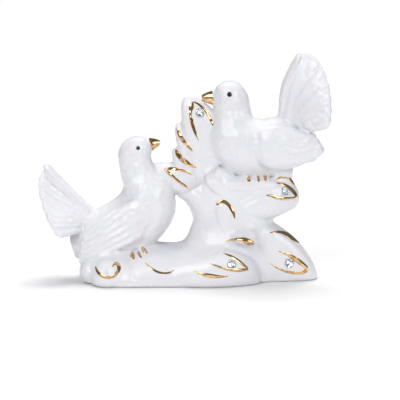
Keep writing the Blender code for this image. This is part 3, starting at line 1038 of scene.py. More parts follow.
@dataclass
class Wave:
    """The bed that everything stands on, the column beside the opening and the branch."""

    bed: list[Row] = field(default_factory=lambda: [
        (-53.6, 8.0, -53.6, 2.0, 2.0), (-52.0, 10.0, -52.0, -3.4, 6.5),
        (-48.4, 11.2, -48.4, -8.0, 13.5), (-42.0, 12.4, -42.0, -9.5, 21.5),
        (-32.0, 14.4, -32.0, -11.5, 25.6), (-22.0, 18.0, -22.0, -14.5, 25.6),
        (-12.0, 18.4, -12.0, -15.5, 25.2), (-2.0, 18.4, -2.0, -15.5, 25.2),
        (8.0, 22.0, 8.0, -17.5, 25.0), (18.0, 25.4, 18.0, -20.0, 23.0),
        (27.0, 26.4, 27.0, -20.5, 18.2), (35.0, 29.0, 35.0, -20.5, 14.0),
        (43.0, 30.4, 43.0, -20.5, 11.6), (50.0, 26.6, 50.0, -18.5, 10.6),
        (57.0, 21.0, 57.0, -15.5, 9.6), (62.8, 14.0, 62.8, -10.0, 8.2),
        (66.6, 8.0, 66.6, -6.0, 5.8), (68.5, 3.0, 68.5, -2.0, 2.4),
    ])
    column: list[Row] = field(default_factory=lambda: [
        (-4.6, 14.0, 40.0, 12.0, 18.0), (1.4, 22.6, 42.0, 24.0, 15.5),
        (4.1, 30.5, 44.5, 34.0, 13.0), (2.9, 36.0, 32.0, 43.0, 12.0),
        (0.2, 40.4, 27.0, 51.0, 11.0), (-3.4, 42.8, 21.0, 58.0, 8.5),
    ])
    branch: list[Row] = field(default_factory=lambda: [
        (13.0, 53.0, 17.0, 34.0, 12.0), (24.0, 53.2, 26.0, 32.0, 12.5),
        (34.0, 53.0, 36.0, 31.6, 12.0), (45.0, 53.2, 45.6, 32.2, 10.4),
        (53.0, 52.8, 51.8, 34.4, 8.4), (57.2, 48.0, 56.4, 36.8, 5.4),
        (58.8, 44.0, 58.7, 39.8, 2.6),
    ])
    rump_stand: list[Row] = field(default_factory=lambda: [
        (46.0, 60.0, 46.0, 48.0, 8.0), (52.0, 60.5, 51.5, 49.0, 7.0),
        (55.6, 60.0, 55.2, 52.0, 4.0),
    ])
    creases: list[Groove] = field(default_factory=lambda: [
        Groove([(10.0, 53.3), (10.2, 50.5), (11.5, 47.4), (15.0, 44.3), (18.1, 42.3)], 0.5, 0.9),
        Groove([(12.8, 52.1), (14.2, 49.0)], 0.5, 1.6),
        Groove([(18.5, 56.0), (19.6, 50.5), (22.3, 46.6), (23.5, 41.1)], 0.35, 1.0),
        Groove([(18.5, 36.4), (19.2, 31.7), (21.2, 26.2)], 0.4, 0.8),
        Groove([(20.9, 36.2), (21.8, 31.7), (23.3, 27.0)], 0.3, 0.7),
        Groove([(15.8, 41.1), (15.0, 35.6), (16.5, 29.4), (19.6, 23.9)], 0.35, 1.2),
        Groove([(-2.8, 47.4), (4.2, 45.8), (11.1, 40.3), (14.2, 34.1)], 0.25, 1.1),
        Groove([(23.5, 17.8), (28.9, 16.0), (34.3, 16.2), (37.4, 17.8)], 0.6, 1.3),
        Groove([(21.9, 19.2), (18.1, 16.8), (13.0, 13.2), (5.0, 10.5)], -0.3, 1.3),
        Groove([(21.9, 15.3), (28.9, 14.1), (35.1, 11.4), (39.0, 5.9), (40.9, -0.4)], 0.6, 1.2),
        Groove([(26.6, 38.0), (29.7, 41.1), (34.3, 43.5)], 0.35, 0.9),
        Groove([(27.4, 35.2), (31.2, 38.6), (36.6, 41.1)], 0.3, 0.9),
        Groove([(-30.6, 8.9), (-28.0, 4.5), (-25.9, -0.7)], 0.6, 1.1),
        Groove([(-47.7, 8.9), (-49.4, 6.3), (-48.1, 2.8)], 0.3, 0.9),
        Groove([(-24.0, 9.0), (-19.0, 5.6), (-13.0, 4.4), (-6.0, 5.8), (2.0, 7.4)], -0.25, 1.4),
        Groove([(-12.0, 15.0), (-4.0, 12.4), (5.0, 12.4), (11.0, 14.0)], 0.25, 1.5),
    ])

    def shape(self, clay: Clay) -> None:
        """Model the wave.

        Args:
            clay: the mesh of what lies across the middle.
        """
        clay.loft(self.bed, sides=64, rows=130, fullness=2.15)
        clay.loft(self.column, fullness=2.3)
        clay.loft(self.branch, fullness=2.3)
        clay.loft(self.rump_stand, rows=24)


@dataclass
class Plume:
    """The four tall leaves that fan up to the left, each behind the last."""

    step_back: float = 1.5
    first_depth: float = 1.0
    leaves: list[list[Row]] = field(default_factory=lambda: [
        [
            (12.0, 38.0, 22.0, 42.0, 8.0), (5.0, 50.0, 20.0, 52.0, 7.2),
            (2.0, 62.0, 18.5, 62.0, 6.4), (-0.6, 74.0, 17.0, 72.0, 5.6),
            (-1.5, 84.0, 16.2, 80.5, 4.6), (-1.5, 90.2, 14.0, 87.8, 3.6),
            (-0.4, 93.6, 7.4, 93.0, 2.2),
        ],
        [
            (5.0, 44.0, 13.0, 50.0, 6.6), (-0.6, 58.0, 7.0, 62.0, 5.4),
            (-3.4, 68.0, 4.0, 72.0, 4.4), (-4.7, 75.0, 0.6, 79.0, 3.2),
            (-4.5, 79.2, -2.6, 80.6, 1.6),
        ],
        [
            (4.0, 42.0, 12.0, 48.0, 7.0), (-2.0, 51.0, 5.0, 57.0, 5.8),
            (-5.8, 59.5, 1.0, 65.0, 4.6), (-6.4, 63.6, -2.4, 67.8, 3.0),
            (-6.2, 66.2, -4.6, 67.6, 1.6),
        ],
        [
            (4.0, 40.0, 8.0, 52.0, 8.0), (-3.4, 42.8, -1.0, 58.4, 7.0),
            (-10.0, 46.0, -9.0, 59.4, 6.0), (-15.0, 50.0, -15.0, 59.2, 4.6),
            (-20.0, 54.0, -19.6, 58.4, 2.4),
        ],
    ])

    def shape(self, clay: Clay) -> None:
        """Model the leaves.

        Args:
            clay: the mesh of what lies across the middle.
        """
        for order, leaf in enumerate(self.leaves):
            depth = self.first_depth + self.step_back * order
            clay.loft([(*row, depth) for row in leaf], sides=40, rows=60, fullness=2.6)


@dataclass
class FrontLeaves:
    """The curled leaves, the knob and the scroll that stand out from the wave."""

    tongue: list[Row] = field(default_factory=lambda: [
        (-16.0, 7.0, -16.0, -3.0, 2.4, -18.6), (-2.0, 11.6, -2.0, -3.0, 4.6, -20.6),
        (11.0, 15.4, 11.0, -3.0, 5.8, -21.6),
        (21.0, 18.4, 21.0, -3.0, 6.4, -20.0), (29.0, 16.8, 29.0, -3.0, 6.0, -17.4),
        (35.0, 12.4, 35.0, -3.0, 4.8, -15.0), (38.2, 5.6, 38.2, -2.6, 2.6, -13.4),
    ])
    branch_leaf: list[Row] = field(default_factory=lambda: [
        (22.0, 40.0, 27.0, 30.5, 3.0, -9.0), (31.0, 45.4, 36.0, 32.2, 4.4, -9.6),
        (41.0, 50.0, 45.4, 33.2, 4.6, -8.6), (50.0, 51.0, 52.2, 35.6, 4.0, -6.4),
        (56.4, 47.0, 57.2, 39.4, 2.8, -3.6), (58.6, 44.0, 58.7, 41.4, 1.6, -1.6),
    ])
    base_leaf: list[Row] = field(default_factory=lambda: [
        (36.0, 25.0, 36.0, 4.0, 2.6, -7.6), (43.0, 27.6, 43.0, 0.0, 3.4, -8.2),
        (50.0, 24.6, 50.0, -2.0, 3.6, -7.6), (57.0, 19.0, 57.0, -3.0, 3.4, -6.6),
        (62.8, 12.0, 62.8, -3.0, 3.0, -5.2), (66.2, 6.0, 66.2, -3.0, 2.2, -3.4),
    ])
    swellings: list[tuple[Row, Row, float]] = field(default_factory=lambda: [
        ((30.8, -17.6, 23.0), (6.4, 3.6, 2.4), radians(8.0)),
        ((20.4, -9.8, 32.6), (6.0, 5.2, 11.4), radians(-6.0)),
        ((16.6, -8.2, 49.0), (5.4, 5.2, 8.0), radians(-38.0)),
        ((-38.2, -17.8, 3.8), (9.0, 8.4, 9.4), 0.0),
        ((-36.6, -24.2, 7.4), (3.2, 2.6, 3.2), 0.0),
        ((-45.6, -11.4, 5.6), (8.0, 7.6, 7.4), 0.0),
        ((-37.0, -11.0, 10.5), (11.0, 6.5, 7.0), 0.0),
        ((30.0, -8.5, 49.6), (19.0, 5.5, 4.8), 0.0),
        ((-24.0, -18.0, 3.0), (5.0, 7.6, 8.0), radians(-25.0)),
    ])

    def shape(self, flank: Clay) -> None:
        """Model the leaves.

        Args:
            flank: the mesh of what is on the near side.
        """
        flank.loft(self.tongue, sides=40, rows=60)
        flank.loft(self.branch_leaf, sides=36, rows=50)
        lip = [(26.0, -5.0, 29.5), (28.0, -12.0, 27.0), (28.8, -18.6, 22.4)]
        slope = Vector((0.96, -0.25, -0.12))
        flank.blade(lip, slope, half_width=9.0, half_thick=2.3, root=0.85, sides=32, rows=36)
        depth = Vector((0.0, 1.0, 0.0))
        ridge = [(16.0, -7.4, 57.5), (22.0, -7.4, 54.6), (25.4, -7.4, 50.0), (24.6, -7.4, 43.0)]
        flank.blade(ridge, depth, half_width=4.0, half_thick=2.2, root=0.9)
        flank.loft(self.base_leaf, sides=40, rows=60, fullness=2.8)
        for centre, radii, turn in self.swellings:
            flank.pebble(centre, radii, turn)


@dataclass
class Toes:
    """Three short toes of each dove, laid where sight lines meet the ground."""

    marks: list[tuple[Row, Row]] = field(default_factory=lambda: [
        ((-28.0, 13.8), (-26.3, 9.8)), ((-24.2, 14.6), (-22.0, 10.8)),
        ((-22.6, 16.8), (-19.4, 13.2)), ((34.7, 52.8), (34.7, 50.0)),
        ((38.3, 52.8), (38.6, 50.0)), ((42.0, 53.2), (42.2, 50.2)),
    ])
    reach: float = 150.0

    def shape(self, flank: Clay, ground: Clay) -> None:
        """Model the toes.

        Args:
            flank: the mesh of what is on the near side.
            ground: what they lie on.
        """
        skin = BVHTree.FromBMesh(ground.mesh)
        sight = Vector((0.0, cos(SIGHT_FALL), -sin(SIGHT_FALL)))
        for heel, tip in self.marks:
            path = []
            for x, z in (heel, ((heel[0] + tip[0]) / 2, (heel[1] + tip[1]) / 2), tip):
                start = Vector((x, 0.0, z)) * PART - sight * self.reach * PART
                path.append(tuple(skin.ray_cast(start, sight)[0] / PART))
            across = (Vector(path[-1]) - Vector(path[0])).cross(sight).normalized()
            flank.blade(path, across, half_width=0.95, half_thick=1.1, root=0.9)


@dataclass
class Casting:
    """The whole porcelain casting: its forms fused under one glaze, with carved lines."""

    low: LowDove
    high: HighDove
    wave: Wave = field(default_factory=Wave)
    plume: Plume = field(default_factory=Plume)
    leaves: FrontLeaves = field(default_factory=FrontLeaves)
    toes: Toes = field(default_factory=Toes)
    grain: float = 0.4
    triangles: int = 190000
    softening: float = 0.5
    softening_passes: int = 4
    foot_radius: float = 1.8

    def forms(self) -> Clay:
        """Model every form, with the near side's forms on the far side too.

        Returns:
            The mesh of all forms, not yet fused.
        """
        clay, flank, ground = Clay(), Clay(), Clay()
        self.low.shape(clay, flank)
        self.high.shape(clay, flank)
        self.wave.shape(clay)
        self.plume.shape(clay)
        self.leaves.shape(flank)
        ground.pour(clay)
        ground.pour(flank)
        self.toes.shape(flank, ground)
        ground.mesh.free()
        flank.mirror_depth()
        clay.pour(flank)
        flank.mesh.free()
        clay.outward()
        return clay

    def grooves(self) -> list[Groove]:
        """Every carved line.

        Returns:
            The grooves of the doves and of the wave.
        """
        return self.low.grooves() + self.high.grooves() + self.wave.creases

    def sculpt(self, data: bpy.types.Mesh) -> None:
        """Soften, carve and ruffle the fused casting.

        Args:
            data: its mesh.
        """
        work = Sculpt(data)
        x, y, z = work.places.T
        wave = np.maximum(ramp(x, 6.0, 11.0) * ramp(z, 63.5, 60.5), ramp(z, 22.0, 17.0))
        tail = ramp(x, 48.0, 51.0) * ramp(z, 78.0, 82.0)
        low_tail = ramp(x, -54.0, -58.0) * ramp(z, 24.0, 28.0)
        tail_tip = ramp(z, 57.0, 61.0) * (x < -62.0)
        wing_front = ramp(np.hypot(x + 21.5, z - 27.0), 8.0, 3.0) * (abs(y) > 6.0)
        beaks = (abs(x + 14.0) < 4.0) & (z > 64.0) | (abs(x - 10.0) < 6.0) & (z > 88.0)
        work.pool(20, np.ones(len(x)))
        work.pool(40, np.full(len(x), 0.8))
        work.pool(60, low_tail)
        work.soften(60, np.maximum(0.8 * tail_tip, wing_front))
        for _ in range(3):
            work.pool(110, np.maximum(wave, tail))
        work.press(self.grooves())
        work.ruffle(0.28, 2.4, (1.0 - 0.75 * np.maximum(wave, 0.8 * tail)) * ~beaks)
        work.round_foot(self.foot_radius)

    def flat_foot(self, data: bpy.types.Mesh) -> None:
        """Cut the casting level at the floor and close the cut.

        Args:
            data: the mesh.
        """
        mesh = bmesh.new()
        mesh.from_mesh(data)
        slice_off(mesh, (0.0, 0.0, 0.0), (0.0, 0.0, 1.0), dist=1e-6, outer=False)
        bmesh.ops.triangulate(mesh, faces=[face for face in mesh.faces if len(face.verts) > 4])
        mesh.to_mesh(data)
        mesh.free()

    def build(self, finish: bpy.types.Material) -> bpy.types.Object:
        """Fuse, soften, carve and thin the casting.

        Args:
            finish: the glaze.

        Returns:
            The casting.
        """
        clay = self.forms()
        raw = bpy.data.meshes.new("forms")
        clay.mesh.to_mesh(raw)
        clay.mesh.free()
        draft = place_in_scene("draft", raw)
        skin = draft.modifiers.new("One skin", "REMESH")
        skin.mode = "VOXEL"
        skin.voxel_size = self.grain * PART
        soft = draft.modifiers.new("Glaze", "SMOOTH")
        soft.factor = self.softening
        soft.iterations = self.softening_passes
        fused = applied(draft)
        bpy.data.objects.remove(draft)
        self.sculpt(fused)
        count = sum(len(face.vertices) - 2 for face in fused.polygons)
        draft = place_in_scene("draft", fused)
        if count > self.triangles:
            fewer = draft.modifiers.new("Fewer faces", "DECIMATE")
            fewer.ratio = self.triangles / count
        fused = applied(draft)
        bpy.data.objects.remove(draft)
        self.flat_foot(fused)
        fused.name = "glazed_doves"
        fused.materials.clear()
        fused.materials.append(finish)
        fused.shade_smooth()
        return place_in_scene("glazed_doves", fused)

    def dig(self, casting: bpy.types.Object, cutter: bpy.types.Object) -> None:
        """Cut the stones' pockets into the casting.

        Args:
            casting: the finished casting.
            cutter: the pockets' forms, removed afterwards.
        """
        cut = casting.modifiers.new("Pockets", "BOOLEAN")
        cut.operation = "DIFFERENCE"
        cut.solver = "EXACT"
        cut.object = cutter
        dug = applied(casting)
        casting.modifiers.clear()
        casting.data = dug
        bpy.data.objects.remove(cutter)


# ---- what is painted on the glaze -----------------------------------------------------------


class Skin:
    """The casting's surface, met along sight lines from the camera."""

    def __init__(self, casting: bpy.types.Object) -> None:
        """Read the surface.

        Args:
            casting: the finished casting.
        """
        self.tree = BVHTree.FromObject(casting, bpy.context.evaluated_depsgraph_get())

    def touch(self, x: float, z: float) -> tuple[Vector, Vector]:
        """Find what shows at a place on the middle plane.

        Args:
            x: the place's x, in parts.
            z: the place's z, in parts.

        Returns:
            The point on the casting and its normal; the nearest point where the sight line misses.
        """
        goal = Vector((x, 0.0, z))
        spot, normal, _, _ = self.tree.ray_cast(EYE * PART, (goal - EYE).normalized())
        if spot is None:
            spot, normal, _, _ = self.tree.find_nearest(goal * PART)
        return spot, normal


@dataclass
class Gilding:
    """The brush strokes of one region, in rows of x, z and width as shown on the middle plane."""

    name: str
    lines: list[list[Row]]
    both_sides: bool = False
    lift: float = 0.12
    rim: float = 0.05
    depth: float = 0.25
    boldness: float = 1.35
    finest: float = 0.2
    spacing: float = 0.35
    strips: int = 8
    evening: int = 3

    def lay(self, clay: Clay, skin: Skin, line: list[Row]) -> None:
        """Lay one stroke on the glaze as a thin domed ribbon.

        Args:
            clay: the mesh to add it to.
            skin: the casting's surface.
            line: the stroke.
        """
        length = sum(hypot(b[0] - a[0], b[1] - a[1]) for a, b in zip(line, line[1:]))
        steps = max(int(length / self.spacing), 6)
        grid = bmesh.ops.create_grid(
            clay.mesh, x_segments=steps, y_segments=self.strips, size=0.5,
        )
        verts, near = grid["verts"], 0.5 / steps
        sunk = {}
        for vert in verts:
            along, aside = vert.co.x + 0.5, vert.co.y * 2.0
            x, z, wide = smooth_value(line, along)
            ahead = smooth_value(line, along + near)
            behind = smooth_value(line, along - near)
            run = Vector((ahead[0] - behind[0], ahead[1] - behind[1])).normalized()
            half = max(wide * self.boldness, self.finest) / 2
            x -= run.y * aside * half
            z += run.x * aside * half
            spot, normal = skin.touch(x, z)
            rise = self.lift * (1 - aside * aside) + self.rim
            vert.co = spot + normal * rise * PART
            sunk[vert] = normal * self.depth * PART
        for _ in range(self.evening):
            bmesh.ops.smooth_vert(
                clay.mesh, verts=[vert for vert in verts if not vert.is_boundary], factor=0.6,
                use_axis_x=True, use_axis_y=True, use_axis_z=True,
            )
        faces = list({face for vert in verts for face in vert.link_faces})
        bmesh.ops.extrude_face_region(clay.mesh, geom=faces, use_keep_orig=True)
        for vert in verts:
            vert.co -= sunk[vert]

    def build(self, skin: Skin, finish: bpy.types.Material) -> bpy.types.Object:
        """Lay every stroke of the region.

        Args:
            skin: the casting's surface.
            finish: the gold.

        Returns:
            The piece of all its strokes.
        """
        clay = Clay()
        for line in self.lines:
            self.lay(clay, skin, line)
        if self.both_sides:
            clay.mirror_depth()
        return clay.to_piece(self.name, finish)


def base_gilding() -> Gilding:
    """The gold on the scroll, the wave and the leaves of the base."""
    return Gilding("gilding_base", [
        [
            (-46.0, 6.1, 0.5), (-45.0, 3.4, 1.0), (-43.0, 1.4, 1.2), (-40.0, 0.3, 1.2),
            (-37.0, 1.0, 1.1), (-34.8, 3.0, 1.3), (-33.8, 5.4, 1.5), (-34.6, 7.3, 1.4),
            (-36.0, 7.6, 1.1), (-37.3, 5.9, 0.5),
        ],
        [
            (-20.2, 7.9, 0.3), (-17.6, 5.5, 0.7), (-14.2, 3.4, 0.9), (-11.0, 2.6, 0.8),
            (-7.8, 2.9, 0.7), (-5.2, 4.3, 0.4),
        ],
        [
            (4.5, 3.6, 0.3), (8.0, 2.4, 0.8), (12.5, 1.3, 1.7), (17.0, 0.8, 1.3),
            (22.5, 1.0, 0.4),
        ],
        [
            (19.5, 13.2, 0.3), (23.0, 12.1, 0.8), (26.2, 10.2, 1.1), (29.4, 7.8, 1.2),
            (32.6, 5.2, 0.6),
        ],
        [
            (12.5, 7.8, 0.3), (16.0, 6.6, 0.6), (20.0, 5.2, 0.9), (24.2, 4.4, 1.2),
            (28.5, 4.1, 1.4), (32.8, 4.6, 0.8),
        ],
        [
            (48.6, 14.2, 0.3), (52.0, 13.0, 0.8), (55.4, 11.3, 1.6), (58.6, 9.1, 1.9),
            (61.4, 6.9, 1.7), (63.0, 5.0, 1.5), (62.0, 3.3, 1.3), (58.0, 2.6, 1.1),
            (53.0, 3.4, 1.0), (48.4, 5.2, 0.7), (44.2, 7.7, 0.3),
        ],
        [
            (44.0, 23.8, 0.4), (48.6, 24.3, 1.0), (52.6, 23.2, 1.4), (56.0, 20.9, 1.6),
            (59.2, 18.8, 0.7),
        ],
        [
            (21.2, 19.5, 0.4), (25.0, 20.2, 0.9), (28.2, 20.4, 1.4), (31.0, 19.9, 2.3),
            (33.6, 18.8, 2.3), (35.8, 18.2, 1.1),
        ],
    ])


def toe_gilding() -> Gilding:
    """The gold on the toes of both doves, on both sides."""
    return Gilding("gilding_toes", [
        [(-26.9, 14.0, 0.6), (-26.9, 12.0, 1.8), (-25.9, 9.9, 0.7)],
        [(-24.0, 14.4, 0.4), (-23.3, 12.4, 1.0), (-22.3, 10.6, 0.5)],
        [(-21.9, 16.6, 0.5), (-20.9, 14.7, 1.7), (-19.2, 13.1, 0.6)],
        [(33.4, 53.4, 0.7), (33.0, 51.8, 1.5), (33.4, 50.2, 0.6)],
        [(37.6, 53.6, 0.6), (38.2, 51.9, 1.3), (38.0, 50.2, 0.5)],
        [(41.3, 54.0, 0.7), (41.9, 52.2, 1.9), (41.9, 50.4, 0.7)],
    ], both_sides=True)


def plume_gilding() -> Gilding:
    """The gold on the tall leaves, the hook and the branch."""
    return Gilding("gilding_plume", [
        [
            (16.6, 38.2, 0.8), (18.6, 39.9, 1.4), (21.0, 39.7, 1.5), (23.4, 37.5, 1.5),
            (25.0, 34.4, 1.3), (25.9, 31.0, 0.4),
        ],
        [
            (47.3, 49.8, 0.4), (50.6, 49.2, 0.9), (53.8, 47.3, 1.3), (56.4, 44.6, 1.4),
            (57.6, 42.6, 0.7),
        ],
        [
            (42.0, 43.4, 0.4), (45.0, 43.0, 1.1), (48.0, 42.0, 1.3), (51.6, 41.6, 1.3),
            (55.2, 41.8, 1.0), (57.2, 42.4, 0.8),
        ],
        [(52.6, 52.4, 0.5), (55.0, 51.0, 1.4), (57.0, 48.9, 0.8)],
        [(46.8, 51.4, 0.4), (49.6, 52.6, 0.9), (52.2, 52.5, 0.4)],
        [
            (4.2, 53.8, 0.3), (1.4, 55.4, 0.8), (-2.0, 56.5, 1.1), (-6.0, 57.1, 1.3),
            (-10.2, 56.8, 0.6),
        ],
        [
            (-10.2, 56.8, 0.6), (-7.2, 54.2, 1.2), (-3.5, 51.0, 1.0), (-0.2, 48.6, 0.9),
            (2.6, 46.8, 0.4),
        ],
        [
            (-4.4, 66.9, 0.6), (-3.1, 64.2, 1.8), (-0.4, 61.4, 1.9), (3.0, 59.2, 1.5),
            (6.2, 57.6, 0.4),
        ],
        [
            (-3.6, 78.0, 0.6), (-2.6, 74.9, 1.4), (-0.5, 71.6, 1.4), (1.8, 68.8, 1.1),
            (4.2, 66.2, 0.4),
        ],
        [
            (14.6, 79.4, 0.4), (13.4, 82.4, 1.1), (11.6, 85.8, 0.9), (9.4, 88.4, 0.9),
            (7.0, 90.4, 0.8), (4.9, 91.4, 0.5),
        ],
        [
            (4.9, 91.6, 0.7), (4.2, 90.0, 1.5), (3.5, 88.0, 1.8), (3.2, 85.6, 1.0),
            (3.6, 82.4, 1.3), (4.6, 78.6, 1.4), (5.8, 75.2, 1.0), (7.2, 71.8, 0.3),
        ],
    ])


@dataclass
class GiltBeak:
    """The gold over the front of a beak."""

    name: str
    beak: list[Row]
    proud: float = 0.34

    def build(self, finish: bpy.types.Material) -> bpy.types.Object:
        """Model the gilt as a thin skin over the beak's last stations.

        Args:
            finish: the gold.

        Returns:
            The piece.
        """
        rows = []
        for x1, z1, x2, z2, half in self.beak[1:]:
            chord = Vector((x2 - x1, z2 - z1))
            grown = chord.normalized() * self.proud
            rows.append((x1 - grown.x, z1 - grown.y, x2 + grown.x, z2 + grown.y, half + self.proud))
        clay = Clay()
        clay.loft(rows, sides=28, rows=24)
        return clay.to_piece(self.name, finish)


@dataclass
class Eyes:
    """A painted eye on each side of a head."""

    name: str
    mark: Row
    radius: float
    rise: float = 0.28

    def build(self, skin: Skin, finish: bpy.types.Material) -> bpy.types.Object:
        """Model the eye as a low dome on the glaze, and its mirror on the far side.

        Args:
            skin: the casting's surface.
            finish: the enamel.

        Returns:
            The piece of both eyes.
        """
        spot, normal = skin.touch(*self.mark)
        turn = normal.to_track_quat("Z", "Y").to_matrix().to_4x4()
        size = Matrix.Diagonal((self.radius, self.radius, self.rise, 1.0 / PART)) * PART
        clay = Clay()
        bmesh.ops.create_uvsphere(
            clay.mesh, u_segments=32, v_segments=16, radius=1.0,
            matrix=Matrix.Translation(spot) @ turn @ size,
        )
        clay.mirror_depth()
        return clay.to_piece(self.name, finish)


# ---- the stones -----------------------------------------------------------------------------


@dataclass
class Rhinestone:
    """A round cut stone in a foil cup, set where its solid sits."""

    node: str
    girdle_radius: float = 0.0020
    crown: float = 0.0010
    pavilion: float = 0.0011
    crown_tilt: float = radians(37.0)
    star_tilt: float = radians(20.0)
    pavilion_tilt: float = radians(150.0)
    girdle_share: float = 0.97
    girdle_rise: float = 0.00004
    table_share: float = 0.55
    star_share: float = 1.02
    facets: int = 8
    cup_gap: float = 0.00008
    cup_wall: float = 0.00012
    cup_rim: float = 0.0002
    cup_foot: float = 0.30
    glue_gap: float = 0.0003
    pocket_depth: float = 0.0034

    def seat(self) -> Matrix:
        """Read the stone's place from its solid.

        Returns:
            The matrix from the stone's own axes to the row's.
        """
        places = np.array([vert.co[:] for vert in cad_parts[self.node].data.vertices])
        middle = (places.max(0) + places.min(0)) / 2
        axis = np.linalg.svd(places - places.mean(0))[2][2]
        axis = Vector(axis if axis[1] < 0 else -axis)
        heights = (places - middle) @ np.array(axis)
        culet = Vector(places[int(heights.argmin())])
        centre = culet + axis * self.pavilion
        return Matrix.Translation(centre) @ axis.to_track_quat("Z", "Y").to_matrix().to_4x4()

    def cut(self, mesh: bmesh.types.BMesh, tilt: float, reach: float, turn: float = 0.0) -> None:
        """Cut one round of facets.

        Args:
            mesh: the stone.
            tilt: the angle between a facet's normal and the stone's axis.
            reach: how far each facet is from the stone's centre.
            turn: where round the stone the first one is.
        """
        for number in range(self.facets):
            angle = turn + tau * number / self.facets
            normal = Vector((sin(tilt) * cos(angle), sin(tilt) * sin(angle), cos(tilt)))
            slice_off(mesh, normal * reach, normal, dist=1e-9, outer=True)

    def build(self, finish: bpy.types.Material) -> bpy.types.Object:
        """Cut the stone from a short rod.

        Args:
            finish: the crystal.

        Returns:
            The stone, which stands for its solid.
        """
        clay = Clay()
        radius = self.girdle_radius
        bmesh.ops.create_cone(
            clay.mesh, cap_ends=True, segments=16, radius1=radius, radius2=radius,
            depth=self.crown + self.pavilion,
            matrix=Matrix.Translation((0.0, 0.0, (self.crown - self.pavilion) / 2)),
        )
        girdle = radius * self.girdle_share
        crown_reach = girdle * sin(self.crown_tilt) + self.girdle_rise
        self.cut(clay.mesh, self.crown_tilt, crown_reach)
        star_reach = radius * self.table_share * sin(self.star_tilt) * self.star_share
        star_reach += self.crown * cos(self.star_tilt)
        self.cut(clay.mesh, self.star_tilt, star_reach, turn=tau / (2 * self.facets))
        self.cut(clay.mesh, self.pavilion_tilt, girdle * sin(self.pavilion_tilt))
        bmesh.ops.remove_doubles(clay.mesh, verts=clay.mesh.verts, dist=2e-6)
        bmesh.ops.transform(clay.mesh, matrix=self.seat(), verts=clay.mesh.verts)
        stone = clay.to_piece(self.node.replace("rhinestone", "stone"), finish)
        stone.data.shade_flat()
        return stone

    def cup(self, finish: bpy.types.Material) -> bpy.types.Object:
        """Model the foil cup that the stone lies in.

        Args:
            finish: the foil.

        Returns:
            The cup.
        """
        clay = Clay()
        made = bmesh.ops.create_cone(
            clay.mesh, cap_ends=False, segments=48, radius1=self.girdle_radius * self.cup_foot,
            radius2=self.girdle_radius + self.cup_rim, depth=self.pavilion,
            matrix=Matrix.Translation((0.0, 0.0, -self.pavilion / 2 - self.cup_gap)),
        )
        low = [e for e in clay.mesh.edges if e.is_boundary and e.verts[0].co.z < -self.pavilion / 2]
        bmesh.ops.holes_fill(clay.mesh, edges=low, sides=0)
        faces = list({face for vert in made["verts"] for face in vert.link_faces})
        bmesh.ops.recalc_face_normals(clay.mesh, faces=faces)
        bmesh.ops.solidify(clay.mesh, geom=clay.mesh.faces[:], thickness=self.cup_wall)
        bmesh.ops.transform(clay.mesh, matrix=self.seat(), verts=clay.mesh.verts)
        return clay.to_piece(self.node.replace("rhinestone", "foil"), finish)

    def pocket(self, clay: Clay) -> None:
        """Model the round pocket that the stone is set in.

        Args:
            clay: the mesh of all pockets.
        """
        radius = self.girdle_radius + self.glue_gap
        bmesh.ops.create_cone(
            clay.mesh, cap_ends=True, segments=40, radius1=radius, radius2=radius,
            depth=self.pocket_depth,
            matrix=self.seat() @ Matrix.Translation((0.0, 0.0, self.glue_gap)),
        )


# ---- the studio -----------------------------------------------------------------------------


@dataclass
class SoftLight:
    """A square soft light."""

    name: str
    place: Row
    aim: Row
    size: float
    power: float
    reflected: bool = True

    def build(self) -> None:
        """Hang the light."""
        data = bpy.data.lights.new(self.name, "AREA")
        data.size = self.size
        data.energy = self.power
        lamp = place_in_scene(self.name, data)
        lamp.location = self.place
        turn = (Vector(self.aim) - Vector(self.place)).to_track_quat("-Z", "Y")
        lamp.rotation_euler = turn.to_euler()
        lamp.visible_glossy = self.reflected


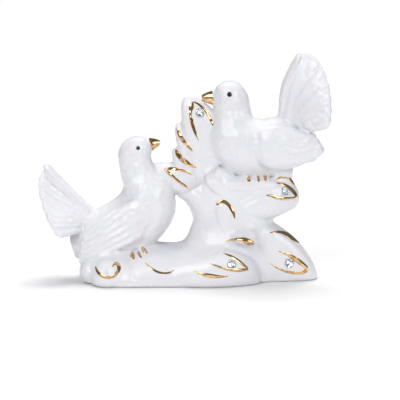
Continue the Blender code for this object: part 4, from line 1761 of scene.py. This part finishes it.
@dataclass
class Studio:
    """A pale floor, soft lights and the camera at the photograph's angle."""

    lights: list[SoftLight] = field(default_factory=lambda: [
        SoftLight("key_light", (-0.45, -0.85, 0.7), (0.0, 0.0, 0.05), 0.7, 6.5),
        SoftLight("fill_light", (0.75, -0.85, 0.5), (0.0, 0.0, 0.05), 0.6, 4.1),
        SoftLight("top_light", (0.05, 0.45, 1.15), (0.0, 0.03, 0.0), 0.8, 14.0, reflected=False),
    ])
    surround: float = 0.31
    reflected: float = 0.2
    lens: float = 157.68
    floor_reach: float = 0.5

    def floor(self) -> bpy.types.Object:
        """Lay the floor.

        Returns:
            The floor.
        """
        mesh = bmesh.new()
        bmesh.ops.create_grid(mesh, x_segments=8, y_segments=8, size=self.floor_reach)
        data = bpy.data.meshes.new("floor")
        mesh.to_mesh(data)
        mesh.free()
        data.materials.append(Paper().material())
        return place_in_scene("floor", data)

    def build(self) -> bpy.types.Object:
        """Set up the floor, the surroundings, the lights and the camera.

        Returns:
            The floor.
        """
        scene = bpy.context.scene
        world = bpy.data.worlds.new("studio")
        world.use_nodes = True
        tree = world.node_tree
        near = tree.nodes["Background"]
        near.inputs["Color"].default_value = (0.97, 0.975, 1.0, 1.0)
        near.inputs["Strength"].default_value = self.surround
        path = tree.nodes.new("ShaderNodeLightPath")
        shade = near.outputs["Background"]
        for rays, strength in (("Is Glossy Ray", self.reflected), ("Is Camera Ray", 1.0)):
            other = tree.nodes.new("ShaderNodeBackground")
            other.inputs["Color"].default_value = (1.0, 1.0, 1.0, 1.0)
            other.inputs["Strength"].default_value = strength
            mix = tree.nodes.new("ShaderNodeMixShader")
            tree.links.new(path.outputs[rays], mix.inputs["Fac"])
            tree.links.new(shade, mix.inputs[1])
            tree.links.new(other.outputs["Background"], mix.inputs[2])
            shade = mix.outputs["Shader"]
        tree.links.new(shade, tree.nodes["World Output"].inputs["Surface"])
        scene.world = world
        scene.view_settings.view_transform = "Standard"
        for light in self.lights:
            light.build()
        camera = place_in_scene("camera", bpy.data.cameras.new("camera"))
        camera.location = EYE * PART
        camera.rotation_euler = (pi / 2 - SIGHT_FALL, 0.0, 0.0)
        camera.data.lens = self.lens
        camera.data.sensor_width = 36.0
        scene.camera = camera
        return self.floor()


def write_sizes() -> None:
    """Update the view layer.
    """
    bpy.context.view_layer.update()


def main() -> None:
    """Build every piece in order and say so."""
    logging.basicConfig(level=logging.INFO, format="%(name)s: %(message)s")
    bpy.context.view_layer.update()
    glaze = Glaze().material()
    gold = GoldLustre().material()
    enamel = Enamel().material()
    crystal = Crystal().material()
    foil = Foil().material()

    low, high = LowDove(), HighDove()
    figurine = Casting(low, high)
    casting = figurine.build(glaze)
    log.info("casting: %d faces", len(casting.data.polygons))
    skin = Skin(casting)

    pieces = [(casting, Slot.PORCELAIN)]
    for gilding in (base_gilding(), plume_gilding(), toe_gilding()):
        pieces.append((gilding.build(skin, gold), Slot.GOLD))
        log.info("%s: %d lines", gilding.name, len(gilding.lines))
    for name, dove in (("low", low), ("high", high)):
        pieces.append((GiltBeak(f"gilt_beak_{name}", dove.beak).build(gold), Slot.GOLD))
    pieces.append((Eyes("eyes_low", (-23.7, 67.8), 1.05).build(skin, enamel), Slot.ENAMEL))
    pieces.append((Eyes("eyes_high", (23.0, 95.3), 1.3).build(skin, enamel), Slot.ENAMEL))

    pockets = Clay()
    for node in sorted(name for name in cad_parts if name.startswith("rhinestone")):
        stone = Rhinestone(node)
        piece = stone.build(crystal)
        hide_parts(node)
        pieces.append((piece, Slot.CRYSTAL))
        pieces.append((stone.cup(foil), Slot.CRYSTAL))
        stone.pocket(pockets)
        log.info("%s: set", node)
    figurine.dig(casting, pockets.to_piece("pockets", glaze))

    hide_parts("porcelain_doves")
    for piece, slot in pieces:
        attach(piece, "root")
    Studio().build()
    log.info("studio: floor, lights and camera")
    write_sizes()


if __name__ == "__main__":
    main()
